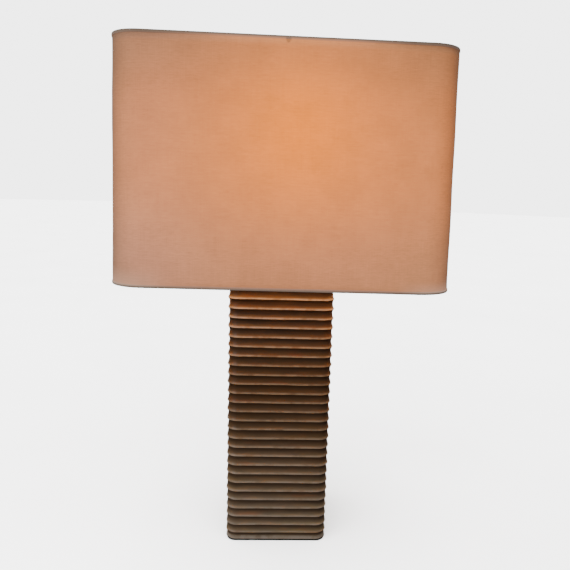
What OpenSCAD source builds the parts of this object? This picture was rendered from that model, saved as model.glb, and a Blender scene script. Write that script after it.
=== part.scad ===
// Table lamp: a ribbed square column, a soft-cornered fabric shade, and everything
// that carries the light between them. Millimetres, +Z up, +Y to the back.
// The origin is the middle of the footprint, on the surface that the lamp stands on.

/* [Column] */
// Width and depth of the square column over its ridges
column_w = 152.5; // [140:0.5:166]
// Radius of the column's upright corners
column_corner_r = 16.5; // [14:0.5:22]
// Thickness of the column's wall behind a ridge
column_wall = 10; // [8:0.5:12]
// Height of the rib at the foot, up to the first ridge
foot_rib_h = 10.6; // [9:0.2:13]
// Height of one rib, ridge to ridge
rib_pitch = 14; // [12:0.5:16]
// Number of ribs above the foot rib
rib_count = 28; // [24:1:30]
// How deep a rib is hollowed behind its ridge
rib_depth = 2.4; // [1.6:0.2:3.2]
// Thickness of the column's closed top
column_top_t = 10; // [8:1:14]
// Bore of the hole in the column's top
top_hole_d = 30; // [26:1:36]

/* [Foot] */
// Thickness of the felt under the foot
felt_t = 2; // [1.5:0.5:3]
// How far the felt stays inside the column's face
felt_inset = 3.5; // [2.5:0.5:6]
// Height of the rebate in the foot, from the column's lower edge to its ledge
rebate_h = 14; // [13:0.5:18]
// Wall left around the rebate
rebate_wall = 8; // [6.5:0.5:8.5]
// Width of the ledge that the base plate bears on
ledge_w = 6; // [4:1:10]
// Height of the ledge
ledge_h = 6; // [4:1:10]
// Corner radius of the opening inside the ledge
ledge_corner_r = 4; // [2:1:10]
// Thickness of the base plate
plate_t = 4; // [3:0.5:6]
// Side clearance of the base plate in the rebate
plate_gap = 0.3; // [0.2:0.1:0.6]

/* [Tie pipe] */
// Outside diameter of the threaded lamp pipe
pipe_d = 9.8; // [9.4:0.1:10.2]
// Bore of the lamp pipe, where the wires run
pipe_bore = 6.6; // [6:0.2:7.4]
// Radial clearance of everything that is threaded on the pipe
thread_gap = 0.05; // [0.03:0.01:0.1]
// Width across flats of the nut under the base plate
base_nut_af = 17; // [15:1:19]
// Height of the nut under the base plate
base_nut_h = 5; // [4:0.5:5]
// Diameter of the washer under the base plate
base_washer_d = 28; // [24:1:34]
// Thickness of the washer under the base plate
base_washer_t = 1.5; // [1:0.25:2]
// Radial clearance of the rubber bush in the column's top and on the pipe
bush_gap = 0.1; // [0.05:0.05:0.3]

/* [Cord outlet] */
// Height of the outlet's centre in the number of ribs above the first ridge
outlet_rib = 1.5; // [1.5:1:3.5]
// Bore of the outlet bush
outlet_bore = 7.2; // [6:0.2:8]
// Outside diameter of the bush's stem
outlet_stem_d = 12; // [11:0.5:13]
// Diameter of the bush's flange
outlet_flange_d = 18; // [17:1:22]
// Thickness of the bush's flange
outlet_flange_t = 2; // [1.5:0.5:3]
// Width across flats of the nut inside the wall
outlet_nut_af = 17; // [16:1:20]
// Thickness of the nut inside the wall
outlet_nut_t = 3; // [2:0.5:4]
// Radial clearance of the bush in the wall
outlet_gap = 0.2; // [0.1:0.1:0.5]

/* [Neck] */
// Diameter of the domed cap on the column
vase_cap_d = 76; // [60:1:90]
// Height of the domed cap
vase_cap_h = 6; // [4:0.5:9]
// Thickness of the cap's metal
vase_cap_t = 1.2; // [1:0.1:2]
// Outside diameter of the neck tube
neck_d = 22; // [18:1:26]
// Wall of the neck tube
neck_wall = 1.2; // [1:0.1:2]
// Length of the neck tube
neck_h = 43; // [30:1:60]
// Diameter of the turned ring on the neck
check_ring_d = 34; // [30:1:40]
// Height of the turned ring
check_ring_h = 3; // [2:0.5:5]

/* [Harp] */
// Diameter of the harp's wire
harp_wire_d = 4.2; // [3.8:0.1:4.8]
// Distance between the harp's legs, centre to centre
saddle_span = 54; // [50:1:58]
// Greatest width of the harp, centre to centre
harp_w = 114; // [106:1:126]
// Height of the harp's top above the saddle, to the wire's centre
harp_h = 240.4; // [225:0.2:260]
// How far the legs lean out, as run over rise
harp_slope = 0.75; // [0.6:0.05:0.9]
// Bend radius of the legs
harp_bend_r = 24; // [20:1:26]
// Straight length of a leg above its joint
leg_straight = 30; // [28:1:36]
// Thickness of the saddle's strip
saddle_t = 1.6; // [1.2:0.1:2]
// Width of the saddle's strip
saddle_w = 14; // [12:1:18]
// Height of the saddle's upturned ends
saddle_arm_h = 14; // [12:1:18]
// Thickness of the saddle's upturned ends
saddle_arm_t = 7; // [6.8:0.2:8]
// Height of the locknut on the saddle
locknut_h = 3; // [2.5:0.5:4]
// Width across flats of the locknut
locknut_af = 15; // [14:1:17]
// Length of the half-lap joint between a saddle post and a leg
lap_h = 8; // [6:1:8]
// Length of the sleeve over each half-lap joint
sleeve_h = 13; // [12:1:14]
// Wall of the sleeve
sleeve_wall = 1; // [0.8:0.1:1.3]
// Radial clearance of the sleeve on the leg
sleeve_gap = 0.06; // [0.03:0.01:0.1]

/* [Top stud] */
// Diameter of the boss on the harp's top
boss_d = 11; // [10:1:13]
// Height of the seat above the wire's centre
boss_rise = 4; // [3.5:0.5:5]
// Diameter of the stud that the shade turns on
stud_d = 6.2; // [6:0.1:6.4]
// Length of the stud above its seat
stud_h = 16; // [14:1:20]

/* [Socket] */
// Outside diameter of the socket's brass shell
shell_d = 32.5; // [32:0.1:34]
// Thickness of the shell's brass
shell_wall = 0.6; // [0.5:0.05:0.6]
// Thickness of the paper liner inside the shell
liner_wall = 0.6; // [0.4:0.1:0.6]
// Height of the shell
shell_h = 46; // [44:1:52]
// Height of the socket cap's threaded neck
socket_neck_h = 8; // [7:0.5:10]
// Diameter of the socket cap's threaded neck
socket_neck_d = 15; // [14:0.5:17]
// Height of the socket cap's cup
cup_h = 11; // [10:0.5:12]
// Height over which the cup flares
cup_flare_h = 5; // [4:0.5:5.5]
// Thickness of the cup's brass
cup_wall = 0.8; // [0.6:0.1:1]
// Height of the socket body's solid block
body_block_h = 18; // [17:0.5:22]
// Height of the socket body's sleeve around the screw shell
body_sleeve_h = 22; // [20:1:24]
// Inside diameter of the screw shell
screw_shell_bore = 26.6; // [26.6:0.05:26.8]
// Thickness of the screw shell's metal
screw_shell_wall = 0.35; // [0.25:0.05:0.35]
// Height of the switch shaft above the cup's lower edge
switch_rise = 15; // [14.5:0.5:17]
// Diameter of the switch shaft
switch_shaft_d = 3.2; // [2.8:0.1:3.6]
// Width of the switch key
key_w = 15; // [12:0.5:18]
// Length of the switch key's paddle
key_l = 12; // [10:0.5:16]
// Thickness of the switch key's paddle
key_t = 3; // [2.5:0.25:4]
// Gap between the socket's shell and the switch key
key_gap = 5; // [4:0.5:8]

/* [Bulb] */
// Length of the bulb from its contact to its top
bulb_h = 108; // [100:1:120]
// Diameter of the bulb
bulb_d = 60; // [55:1:66]
// Outside diameter of the bulb's screw base
bulb_base_d = 26.4; // [26.2:0.05:26.45]
// Height of the bulb's base, contact included
bulb_base_h = 25; // [24:0.5:27]
// Thickness of the bulb's glass
bulb_wall = 0.8; // [0.6:0.1:1.2]

/* [Shade] */
// Width of the shade's fabric at the bottom
shade_w = 460; // [420:1:500]
// Depth of the shade's fabric at the bottom
shade_depth = 267; // [240:1:300]
// Height of the shade over its hems
shade_h = 316; // [290:1:330]
// How far each side of the shade leans in from bottom to top
shade_lean = 8; // [4:0.5:12]
// Radius of the shade's corners at the bottom
shade_corner_r = 48.5; // [40:0.5:60]
// Thickness of the shade's fabric
fabric_t = 0.8; // [0.6:0.1:1.2]
// Thickness of the stiff lining behind the fabric
lining_t = 1; // [0.8:0.1:1.4]
// Thickness of the hem tape
hem_t = 0.6; // [0.4:0.1:0.8]
// Height of the hem tape on the fabric
hem_h = 4.2; // [4:0.2:6]
// Diameter of the wire in each hem
ring_d = 3.2; // [2.8:0.1:3.4]
// Gap between a hem's wire and what wraps it
ring_gap = 0.15; // [0.1:0.05:0.2]
// Thickness of the glue under the hem tape
glue_t = 0.05; // [0.02:0.01:0.1]

/* [Spider and finial] */
// Diameter of the hub that sits on the stud
hub_d = 22; // [20:1:28]
// Thickness of the hub
hub_t = 4; // [3.6:0.1:5]
// How far the hub sits below the shade's top edge
hub_recess = 12; // [10:0.5:16]
// Radial clearance of the hub on its stud
hub_gap = 0.08; // [0.03:0.01:0.1]
// Gap between faces that turn on each other
face_gap = 0.1; // [0.05:0.05:0.2]
// Bend radius of the spider's arms
arm_bend_r = 8; // [6:1:10]
// Diameter of the washer under the finial
finial_washer_d = 16; // [14:1:18]
// Thickness of the washer under the finial
finial_washer_t = 1; // [0.8:0.1:1.5]
// Diameter of the finial's ball
finial_ball_d = 18; // [16:0.5:22]
// Height of the finial's foot under the ball
finial_foot_h = 5; // [4:0.5:8]

/* [Hidden] */
$fn = 64;
cut = 1;        // how far a cutting tool runs past the face that it cuts
rib_steps = 3;  // straight steps along a rib's long arc
bend_root = 0.2;       // how far a wire's bend is rooted in the straight runs
bend_thinning = 0.02;  // how much thinner a wire is in its bends
seat_gap = 0.1; // gap between pieces of one assembly that lie on curved faces

// Heights of the column, from the surface up
column_z = felt_t;
first_ridge_z = column_z + foot_rib_h;
column_top_z = first_ridge_z + rib_count * rib_pitch;
ledge_z = column_z + rebate_h;
plate_z = ledge_z - plate_t;
base_washer_z = plate_z - base_washer_t;
base_nut_z = base_washer_z - base_nut_h;
pipe_r = pipe_d / 2;
pipe_z = base_nut_z - 1;
face_x = column_w / 2;
outlet_z = first_ridge_z + outlet_rib * rib_pitch;

// Heights of the neck and the socket
cap_top_z = column_top_z + vase_cap_h;
check_ring_z = cap_top_z + neck_h;
saddle_z = check_ring_z + check_ring_h;
locknut_z = saddle_z + saddle_t;
socket_z = locknut_z + locknut_h;
cup_z = socket_z + socket_neck_h;
pipe_top_z = cup_z - 2;
cup_r = shell_d / 2 + seat_gap / 2 + cup_wall;
shell_z = cup_z + cup_flare_h + cup_wall + 0.5;
liner_r = shell_d / 2 - shell_wall - seat_gap / 2;
body_r = liner_r - liner_wall - seat_gap / 2;
body_z = cup_z + cup_flare_h + 0.3;
block_top_z = body_z + body_block_h;
screw_shell_r = screw_shell_bore / 2 + screw_shell_wall;
switch_z = cup_z + switch_rise;
contact_rise = 3.5;  // height of the tongue's top above the socket body's floor
bulb_z = block_top_z + contact_rise + 0.3;
bulb_r = bulb_d / 2;
bulb_centre_z = bulb_h - bulb_r;
base_metal_t = 0.3;
bulb_neck_r = bulb_base_d / 2 - base_metal_t - seat_gap;
neck_sunk = 6;  // how far the glass neck reaches down into the screw base
stem_r = 4;
lead_r = 0.5;
lead_len = 24;
lead_tilt = 16;
lead_z = bulb_z + bulb_centre_z - 21;  // height where the lead wires leave the stem

// Harp, stud and shade
harp_r = harp_wire_d / 2;
leg_x = saddle_span / 2;
shoulder_z = saddle_z + saddle_arm_h;
lap_z = shoulder_z + 3;
top_r = harp_w / 2;
harp_lean = atan(harp_slope);
lean_len = (top_r - leg_x - 2 * harp_bend_r * (1 - cos(harp_lean))) / sin(harp_lean);
lean_rise = 2 * harp_bend_r * sin(harp_lean) + lean_len * cos(harp_lean);
harp_top_z = saddle_z + harp_h;
side_len = harp_top_z - top_r - lean_rise - shoulder_z - leg_straight;
seat_z = harp_top_z + boss_rise;
hub_z = seat_z + face_gap;
shade_top_z = hub_z + hub_t / 2 + hub_recess;
shade_z = shade_top_z - shade_h;
corner_x = shade_w / 2 - shade_corner_r;
corner_y = shade_depth / 2 - shade_corner_r;
ring_r = ring_d / 2;
washer_z = hub_z + hub_t + face_gap;
finial_z = washer_z + finial_washer_t + face_gap;
finial_bore_r = stud_d / 2 + hub_gap;

// Distance of the fabric's outer face from a corner's upright axis, at a height
function shade_u(z) = shade_corner_r - shade_lean * (z - shade_z) / shade_h;

// Height of a hem's wire, and its distance from a corner's upright axis
top_ring_z = shade_top_z - hem_t - ring_gap - ring_r;
bottom_ring_z = shade_z + hem_t + ring_gap + ring_r;
function tape_u(z) = shade_u(z) + glue_t;
function ring_u(z) = shade_u(z) - fabric_t - lining_t - ring_gap - ring_r;

// Sweeps a profile around a rectangle with round corners. The profile's first axis is
// the distance outwards from a corner's upright axis, at (cx, cy), and its second is height.
module around(cx, cy) {
    for (side = [0, 180]) {
        rotate([0, 0, side]) {
            translate([cx, cy, 0]) rotate([90, 0, 0]) linear_extrude(2 * cy) children();
            translate([-cx, cy, 0]) rotate([90, 0, 90]) linear_extrude(2 * cx) children();
            translate([cx, cy, 0]) rotate_extrude(angle = 90) children();
            translate([-cx, cy, 0]) rotate([0, 0, 90]) rotate_extrude(angle = 90) children();
        }
    }
}

// A block with round upright corners, standing on z = 0
module round_block(w, d, h, r) {
    linear_extrude(h) {
        square([w - 2 * r, d], center = true);
        square([w, d - 2 * r], center = true);
        for (x = [-1, 1], y = [-1, 1]) {
            translate([x * (w / 2 - r), y * (d / 2 - r)]) circle(r);
        }
    }
}

// A straight tube or disc with a bore, standing on z = 0
module ring_disc(d, bore, h) {
    difference() {
        cylinder(h = h, d = d);
        translate([0, 0, -cut]) cylinder(h = h + 2 * cut, d = bore);
    }
}

// A hexagon nut with a bore, standing on z = 0
module hex_nut(af, bore, h) {
    difference() {
        cylinder(h = h, d = af / cos(30), $fn = 6);
        translate([0, 0, -cut]) cylinder(h = h + 2 * cut, d = bore);
    }
}

// A bend of wire in the XZ plane around the origin, from the angle start over the angle
// sweep. It is drawn a little thinner by the bending and is rooted in the straight runs
module wire_bend(r, bend_r, start, sweep) {
    root = bend_root / bend_r * 180 / PI;
    rotate([90, 0, 0]) rotate([0, 0, start - root])
        rotate_extrude(angle = sweep + 2 * root) translate([bend_r, 0]) circle(r - bend_thinning);
}

// A wire that runs along +X. Each step is a straight length, a bend towards +Z and its radius
module wire_run(r, steps, i = 0) {
    if (i < len(steps)) {
        run = steps[i][0];
        turn = steps[i][1];
        bend_r = steps[i][2];
        rotate([0, 90, 0]) cylinder(h = run, r = r);
        translate([run, 0, 0]) {
            if (turn != 0) {
                rotate([turn < 0 ? 180 : 0, 0, 0]) translate([0, 0, bend_r])
                    wire_bend(r, bend_r, -90, abs(turn));
            }
            translate([bend_r * sin(abs(turn)), 0, sign(turn) * bend_r * (1 - cos(turn))])
                rotate([0, -turn, 0])
                    wire_run(r, steps, i + 1);
        }
    }
}

// Points of one rib, from the ridge at height z down: in under the ridge by a short
// curve, then out again on a long arc, which the next ridge ends
function rib_points(z, h) =
    let (low_h = h - rib_depth, low_r = (rib_depth * rib_depth + low_h * low_h) / (2 * rib_depth))
    concat(
        [[column_corner_r, z], [column_corner_r - 0.7 * rib_depth, z - 0.3 * rib_depth]],
        [for (i = [0 : rib_steps - 1])
            let (drop = low_h * i / rib_steps)
            [column_corner_r - rib_depth + low_r - sqrt(low_r * low_r - drop * drop), z - rib_depth - drop]]
    );

// The column's wall from top to foot, ribbed outside and with the foot's rebate inside
module wall_outline(inner_u) {
    rebate_u = column_corner_r - rebate_wall;
    polygon(concat(
        [[inner_u, column_top_z]],
        [for (i = [rib_count : -1 : 1]) each rib_points(first_ridge_z + i * rib_pitch, rib_pitch)],
        rib_points(first_ridge_z, foot_rib_h),
        [[column_corner_r, column_z], [rebate_u, column_z], [rebate_u, ledge_z], [inner_u, ledge_z]]
    ));
}

module column_shell() {
    inner_u = column_corner_r - column_wall;
    corner = face_x - column_corner_r;
    inner_w = column_w - 2 * column_wall;
    ledge_bore_w = inner_w - 2 * ledge_w;
    color("sienna") difference() {
        union() {
            around(corner, corner) wall_outline(inner_u);
            translate([0, 0, ledge_z]) difference() {
                round_block(inner_w + 2, inner_w + 2, ledge_h, inner_u + 1);
                translate([0, 0, -cut])
                    round_block(ledge_bore_w, ledge_bore_w, ledge_h + 2 * cut, ledge_corner_r);
            }
            translate([0, 0, column_top_z - column_top_t])
                round_block(inner_w + 2, inner_w + 2, column_top_t, inner_u + 1);
        }
        translate([0, 0, column_top_z - column_top_t - cut])
            cylinder(h = column_top_t + 2 * cut, d = top_hole_d);
        translate([0, face_x - column_wall - cut, outlet_z]) rotate([-90, 0, 0])
            cylinder(h = column_wall + 2 * cut, r = outlet_stem_d / 2 + outlet_gap);
    }
}

module felt_pad() {
    side = column_w - 2 * felt_inset;
    color("darkolivegreen") round_block(side, side, felt_t, column_corner_r - felt_inset);
}

module base_plate() {
    side = column_w - 2 * rebate_wall - 2 * plate_gap;
    color("dimgray") translate([0, 0, plate_z]) difference() {
        round_block(side, side, plate_t, column_corner_r - rebate_wall - plate_gap);
        translate([0, 0, -cut]) cylinder(h = plate_t + 2 * cut, r = pipe_r + thread_gap);
    }
}

module base_washer() {
    color("silver") translate([0, 0, base_washer_z])
        ring_disc(base_washer_d, pipe_d + 2 * thread_gap, base_washer_t);
}

module base_nut() {
    color("silver") translate([0, 0, base_nut_z])
        hex_nut(base_nut_af, pipe_d + 2 * thread_gap, base_nut_h);
}

module lamp_pipe() {
    color("goldenrod") translate([0, 0, pipe_z]) ring_disc(pipe_d, pipe_bore, pipe_top_z - pipe_z);
}

module centring_bush() {
    color("black") translate([0, 0, column_top_z - column_top_t])
        ring_disc(top_hole_d - 2 * bush_gap, pipe_d + 2 * bush_gap, column_top_t);
}

module cord_bush() {
    inside = column_wall + outlet_nut_t + 1;
    color("black") translate([0, face_x + face_gap, outlet_z]) rotate([-90, 0, 0]) difference() {
        union() {
            cylinder(h = outlet_flange_t, d = outlet_flange_d);
            translate([0, 0, -inside]) cylinder(h = inside, d = outlet_stem_d);
        }
        translate([0, 0, -inside - cut])
            cylinder(h = inside + outlet_flange_t + 2 * cut, d = outlet_bore);
    }
}

module cord_bush_nut() {
    color("black") translate([0, face_x - column_wall - outlet_nut_t, outlet_z]) rotate([-90, 0, 0])
        hex_nut(outlet_nut_af, outlet_stem_d + 2 * thread_gap, outlet_nut_t);
}

module vase_cap() {
    rim_r = vase_cap_d / 2;
    flat_r = neck_d / 2 + 1;
    color("goldenrod") translate([0, 0, column_top_z]) rotate_extrude() polygon([
        [rim_r - vase_cap_t, 0], [rim_r, 0], [rim_r, vase_cap_t], [flat_r, vase_cap_h],
        [pipe_r + thread_gap, vase_cap_h], [pipe_r + thread_gap, vase_cap_h - vase_cap_t],
        [flat_r, vase_cap_h - vase_cap_t], [rim_r - vase_cap_t, vase_cap_t / 2]
    ]);
}

module neck_tube() {
    color("goldenrod") translate([0, 0, cap_top_z]) ring_disc(neck_d, neck_d - 2 * neck_wall, neck_h);
}

module check_ring() {
    edge_r = check_ring_h / 2;
    color("goldenrod") translate([0, 0, check_ring_z]) rotate_extrude() {
        translate([pipe_r + thread_gap, 0])
            square([check_ring_d / 2 - edge_r - pipe_r - thread_gap, check_ring_h]);
        translate([check_ring_d / 2 - edge_r, edge_r]) circle(edge_r);
    }
}

// The strip on the neck, with an upright post at each end. A post's upper part is halved
// and keeps the side towards the lamp's axis
module harp_saddle() {
    color("goldenrod") difference() {
        union() {
            translate([-leg_x, -saddle_w / 2, saddle_z]) cube([saddle_span, saddle_w, saddle_t]);
            for (side = [-1, 1]) {
                translate([side * leg_x - saddle_arm_t / 2, -saddle_w / 2, saddle_z])
                    cube([saddle_arm_t, saddle_w, saddle_arm_h]);
                translate([side * leg_x, 0, shoulder_z - 2]) cylinder(h = lap_z - shoulder_z + 2, r = harp_r);
                translate([side * leg_x, 0, lap_z - cut]) difference() {
                    cylinder(h = lap_h + cut - seat_gap, r = harp_r);
                    translate([side > 0 ? 0 : -2 * harp_r, -2 * harp_r, cut])
                        cube([2 * harp_r, 4 * harp_r, lap_h + cut]);
                }
            }
        }
        translate([0, 0, saddle_z - cut]) cylinder(h = saddle_t + 2 * cut, r = pipe_r + thread_gap);
    }
}

module saddle_locknut() {
    color("goldenrod") translate([0, 0, locknut_z]) hex_nut(locknut_af, pipe_d + 2 * thread_gap, locknut_h);
}

// The right leg of the harp's wire, halved at its lower end to lie against its post
module harp_leg() {
    start_z = lap_z + seat_gap;
    difference() {
        translate([leg_x, 0, start_z]) rotate([0, -90, 0]) wire_run(harp_r, [
            [leg_straight + shoulder_z - start_z, -harp_lean, harp_bend_r],
            [lean_len, harp_lean, harp_bend_r],
            [side_len, 0, 0]
        ]);
        translate([leg_x - 2 * harp_r + seat_gap, -2 * harp_r, start_z - cut])
            cube([2 * harp_r, 4 * harp_r, lap_h - seat_gap + cut]);
    }
}

module harp_wire() {
    color("goldenrod") {
        harp_leg();
        mirror([1, 0, 0]) harp_leg();
        translate([0, 0, harp_top_z - top_r]) wire_bend(harp_r, top_r, 0, 180);
    }
}

module harp_top_stud() {
    color("goldenrod") difference() {
        union() {
            translate([0, 0, harp_top_z - boss_rise]) cylinder(h = 2 * boss_rise, d = boss_d);
            translate([0, 0, seat_z - 1]) cylinder(h = stud_h + 1, d = stud_d);
        }
        translate([0, 0, harp_top_z - top_r]) rotate([90, 0, 0]) rotate([0, 0, 60])
            rotate_extrude(angle = 60) translate([top_r, 0]) circle(harp_r + seat_gap / 2);
    }
}

module harp_sleeve(side) {
    color("goldenrod") translate([side * leg_x, 0, shoulder_z + face_gap])
        ring_disc(harp_wire_d + 2 * sleeve_gap + 2 * sleeve_wall, harp_wire_d + 2 * sleeve_gap, sleeve_h);
}

module harp_sleeve_left() {
    harp_sleeve(-1);
}

module harp_sleeve_right() {
    harp_sleeve(1);
}

module socket_cap() {
    neck_r = socket_neck_d / 2;
    screw_r = 1.6 + seat_gap;
    color("goldenrod") difference() {
        translate([0, 0, cup_z]) rotate_extrude() polygon([
            [pipe_r + thread_gap, -socket_neck_h], [neck_r, -socket_neck_h], [neck_r, 0],
            [cup_r, cup_flare_h], [cup_r, cup_h], [cup_r - cup_wall, cup_h],
            [cup_r - cup_wall, cup_flare_h + cup_wall / 2], [neck_r, cup_wall],
            [pipe_r + thread_gap, cup_wall]
        ]);
        translate([0, 0, socket_z + socket_neck_h / 2 - 1]) rotate([0, 90, 0])
            cylinder(h = neck_r + cut, r = screw_r);
    }
}

module socket_set_screw() {
    head_h = 2;
    color("silver") translate([0, 0, socket_z + socket_neck_h / 2 - 1]) rotate([0, 90, 0]) difference() {
        union() {
            translate([0, 0, pipe_r + seat_gap]) cylinder(h = socket_neck_d / 2 - pipe_r + 0.4, r = 1.6);
            translate([0, 0, socket_neck_d / 2 + 0.2]) cylinder(h = head_h, r = 2.6);
        }
        translate([-3, -0.4, socket_neck_d / 2 + head_h - 0.6]) cube([6, 0.8, 2]);
    }
}

// The round way for the switch shaft through the socket's walls, towards the front
module switch_way(r) {
    translate([0, 0, switch_z]) rotate([90, 0, 0]) cylinder(h = cup_r + cut, r = r);
}

module socket_shell() {
    color("goldenrod") difference() {
        translate([0, 0, shell_z]) ring_disc(shell_d, shell_d - 2 * shell_wall, shell_h);
        switch_way(switch_shaft_d / 2 + 0.6);
    }
}

module insulating_liner() {
    color("tan") difference() {
        translate([0, 0, shell_z]) ring_disc(2 * liner_r, 2 * (liner_r - liner_wall), shell_h - 3);
        switch_way(switch_shaft_d / 2 + 0.6);
    }
}

module socket_body() {
    color("black") difference() {
        translate([0, 0, body_z]) cylinder(h = body_block_h + body_sleeve_h, r = body_r);
        translate([0, 0, block_top_z]) cylinder(h = body_sleeve_h + cut, r = screw_shell_r + seat_gap / 2);
        switch_way(switch_shaft_d / 2 + hub_gap);
        for (side = [-1, 1]) {
            translate([side * (body_r - 3), 0, body_z + 6]) cube([6 + cut, 7, 6], center = true);
        }
    }
}

module screw_shell() {
    color("goldenrod") translate([0, 0, block_top_z]) difference() {
        cylinder(h = body_sleeve_h + 1, r = screw_shell_r);
        translate([0, 0, screw_shell_wall]) cylinder(h = body_sleeve_h + 1 + cut, d = screw_shell_bore);
        translate([0, 0, -cut]) cylinder(h = screw_shell_wall + 2 * cut, r = 7);
    }
}

module centre_contact() {
    tongue_t = 0.6;
    color("goldenrod") translate([0, 0, block_top_z]) {
        translate([-5.5, -2.5, 0]) cube([8, 5, tongue_t]);
        translate([-5.5, -2.5, 0]) cube([tongue_t, 5, contact_rise]);
        translate([-5.5, -2.5, contact_rise - tongue_t]) cube([9, 5, tongue_t]);
    }
}

module terminal_screws() {
    for (side = [-1, 1]) {
        color(side < 0 ? "goldenrod" : "silver")
            translate([side * (body_r - 6), 0, body_z + 6]) rotate([0, side * 90, 0]) difference() {
                cylinder(h = 4.2, r = 2.6);
                translate([-3, -0.4, 3.6]) cube([6, 0.8, 2]);
            }
    }
}

module switch_shaft() {
    color("goldenrod") translate([0, 0, switch_z]) rotate([90, 0, 0])
        translate([0, 0, 4]) cylinder(h = cup_r + key_gap - 4, d = switch_shaft_d);
}

module switch_key() {
    corner = 3;
    color("black") translate([0, -cup_r - key_gap, switch_z]) difference() {
        union() {
            rotate([90, 0, 0]) translate([0, 0, -3]) cylinder(h = 4, r = switch_shaft_d / 2 + 1.8);
            translate([0, 0, -key_t / 2]) linear_extrude(key_t) {
                translate([-key_w / 2, -key_l + corner]) square([key_w, key_l - corner]);
                translate([-key_w / 2 + corner, -key_l]) square([key_w - 2 * corner, key_l]);
                for (x = [-1, 1]) {
                    translate([x * (key_w / 2 - corner), -key_l + corner]) circle(corner);
                }
            }
        }
        rotate([90, 0, 0]) translate([0, 0, -3 - cut]) cylinder(h = 3 + cut, d = switch_shaft_d + 0.02);
    }
}

// Outline of the bulb's glass, shrunk by a wall. The neck meets the ball's side at an angle
module bulb_outline(wall) {
    meet = 35;
    neck_r = 14;
    ball_r = bulb_r - wall;
    meet_x = bulb_r * cos(meet);
    meet_z = bulb_centre_z - bulb_r * sin(meet);
    cone_z = meet_z - (meet_x - neck_r) / tan(meet);
    intersection() {
        union() {
            translate([0, bulb_centre_z]) circle(ball_r, $fn = 128);
            polygon([
                [0, bulb_base_h - neck_sunk - wall], [bulb_neck_r - wall, bulb_base_h - neck_sunk - wall],
                [bulb_neck_r - wall, bulb_base_h + 1], [neck_r - wall, bulb_base_h + 3], [neck_r - wall, cone_z],
                [meet_x - wall * cos(meet), meet_z + wall * sin(meet)],
                [0, meet_z + wall * sin(meet)]
            ]);
        }
        square([bulb_d, bulb_h + cut]);
    }
}

module bulb_glass() {
    color("white", 0.6) translate([0, 0, bulb_z]) rotate_extrude() difference() {
        bulb_outline(0);
        bulb_outline(bulb_wall);
    }
}

module bulb_base() {
    color("silver") translate([0, 0, bulb_z + 5]) 
        ring_disc(bulb_base_d, bulb_base_d - 2 * base_metal_t, bulb_base_h - 5);
}

module bulb_insulator() {
    base_r = bulb_base_d / 2;
    color("black") translate([0, 0, bulb_z]) rotate_extrude() polygon([
        [4, 0.8], [5.5, 0.8], [base_r - base_metal_t - seat_gap, 4.9],
        [base_r - base_metal_t - seat_gap, 6.4], [4, 6.4]
    ]);
}

module bulb_contact() {
    color("silver") translate([0, 0, bulb_z]) cylinder(h = 3, r = 3.9);
}

// The glass stem in the bulb's neck, with the two lead wires that carry the filament
module bulb_stem() {
    stem_z = bulb_z + bulb_base_h - neck_sunk;
    color("white", 0.5) translate([0, 0, stem_z]) {
        cylinder(h = 6, r1 = bulb_neck_r - bulb_wall - seat_gap, r2 = stem_r);
        translate([0, 0, 6]) cylinder(h = lead_z - stem_z - 3, r = stem_r);
    }
    color("silver") for (side = [-1, 1]) {
        translate([side * (stem_r - 1), 0, lead_z]) rotate([0, side * lead_tilt, 0])
            cylinder(h = lead_len, r = lead_r);
    }
}

module filament() {
    filament_r = 0.4;
    tip_x = stem_r - 1 + lead_len * sin(lead_tilt);
    tip_z = lead_z + lead_len * cos(lead_tilt) + lead_r * sin(lead_tilt);
    color("orange") translate([0, 0, tip_z + filament_r + seat_gap / 2])
        rotate_extrude(angle = 180) translate([tip_x, 0]) circle(filament_r);
}

// Outline of one of the shade's layers, between two distances inside the fabric's face
module layer_outline(outer, inner) {
    low = shade_z + hem_t + glue_t;
    high = shade_top_z - hem_t - glue_t;
    polygon([
        [shade_u(low) - inner, low], [shade_u(low) - outer, low],
        [shade_u(high) - outer, high], [shade_u(high) - inner, high]
    ]);
}

module shade_fabric() {
    color("peachpuff") around(corner_x, corner_y) layer_outline(0, fabric_t);
}

module shade_lining() {
    color("ivory") around(corner_x, corner_y) layer_outline(fabric_t, fabric_t + lining_t);
}

module hem_ring(z) {
    around(corner_x, corner_y) translate([ring_u(z), z]) circle(ring_r);
}

module top_ring() {
    color("silver") hem_ring(top_ring_z);
}

module bottom_ring() {
    color("silver") hem_ring(bottom_ring_z);
}

// A tape folded over the shade's edge at height edge_z, and in around the wire at ring_z.
// Its legs run from the edge to free_z, past the wire
module hem_outline(edge_z, free_z, ring_z) {
    fold_z = edge_z + sign(free_z - edge_z) * hem_t;
    inner_u = ring_u(ring_z) - ring_r - ring_gap;
    polygon([
        [inner_u - hem_t, edge_z], [tape_u(edge_z) + hem_t, edge_z], [tape_u(free_z) + hem_t, free_z],
        [tape_u(free_z), free_z], [tape_u(fold_z), fold_z], [inner_u, fold_z], [inner_u, free_z],
        [inner_u - hem_t, free_z]
    ]);
}

// The upper tape, slotted on its inner side where each arm comes in to the wire
module top_hem() {
    slot_w = ring_d + 0.8;
    slot_z = shade_top_z - hem_h - cut;
    color("rosybrown") difference() {
        around(corner_x, corner_y) hem_outline(shade_top_z, shade_top_z - hem_h, top_ring_z);
        for (turn = [0 : 90 : 270]) {
            reach = turn % 180 == 0 ? corner_x : corner_y;
            rotate([0, 0, turn]) translate([reach, -slot_w / 2, slot_z])
                cube([ring_u(top_ring_z), slot_w, top_ring_z + ring_r + ring_gap / 2 - slot_z]);
        }
    }
}

module bottom_hem() {
    color("rosybrown") around(corner_x, corner_y)
        hem_outline(shade_z, shade_z + hem_h, bottom_ring_z);
}

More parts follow.
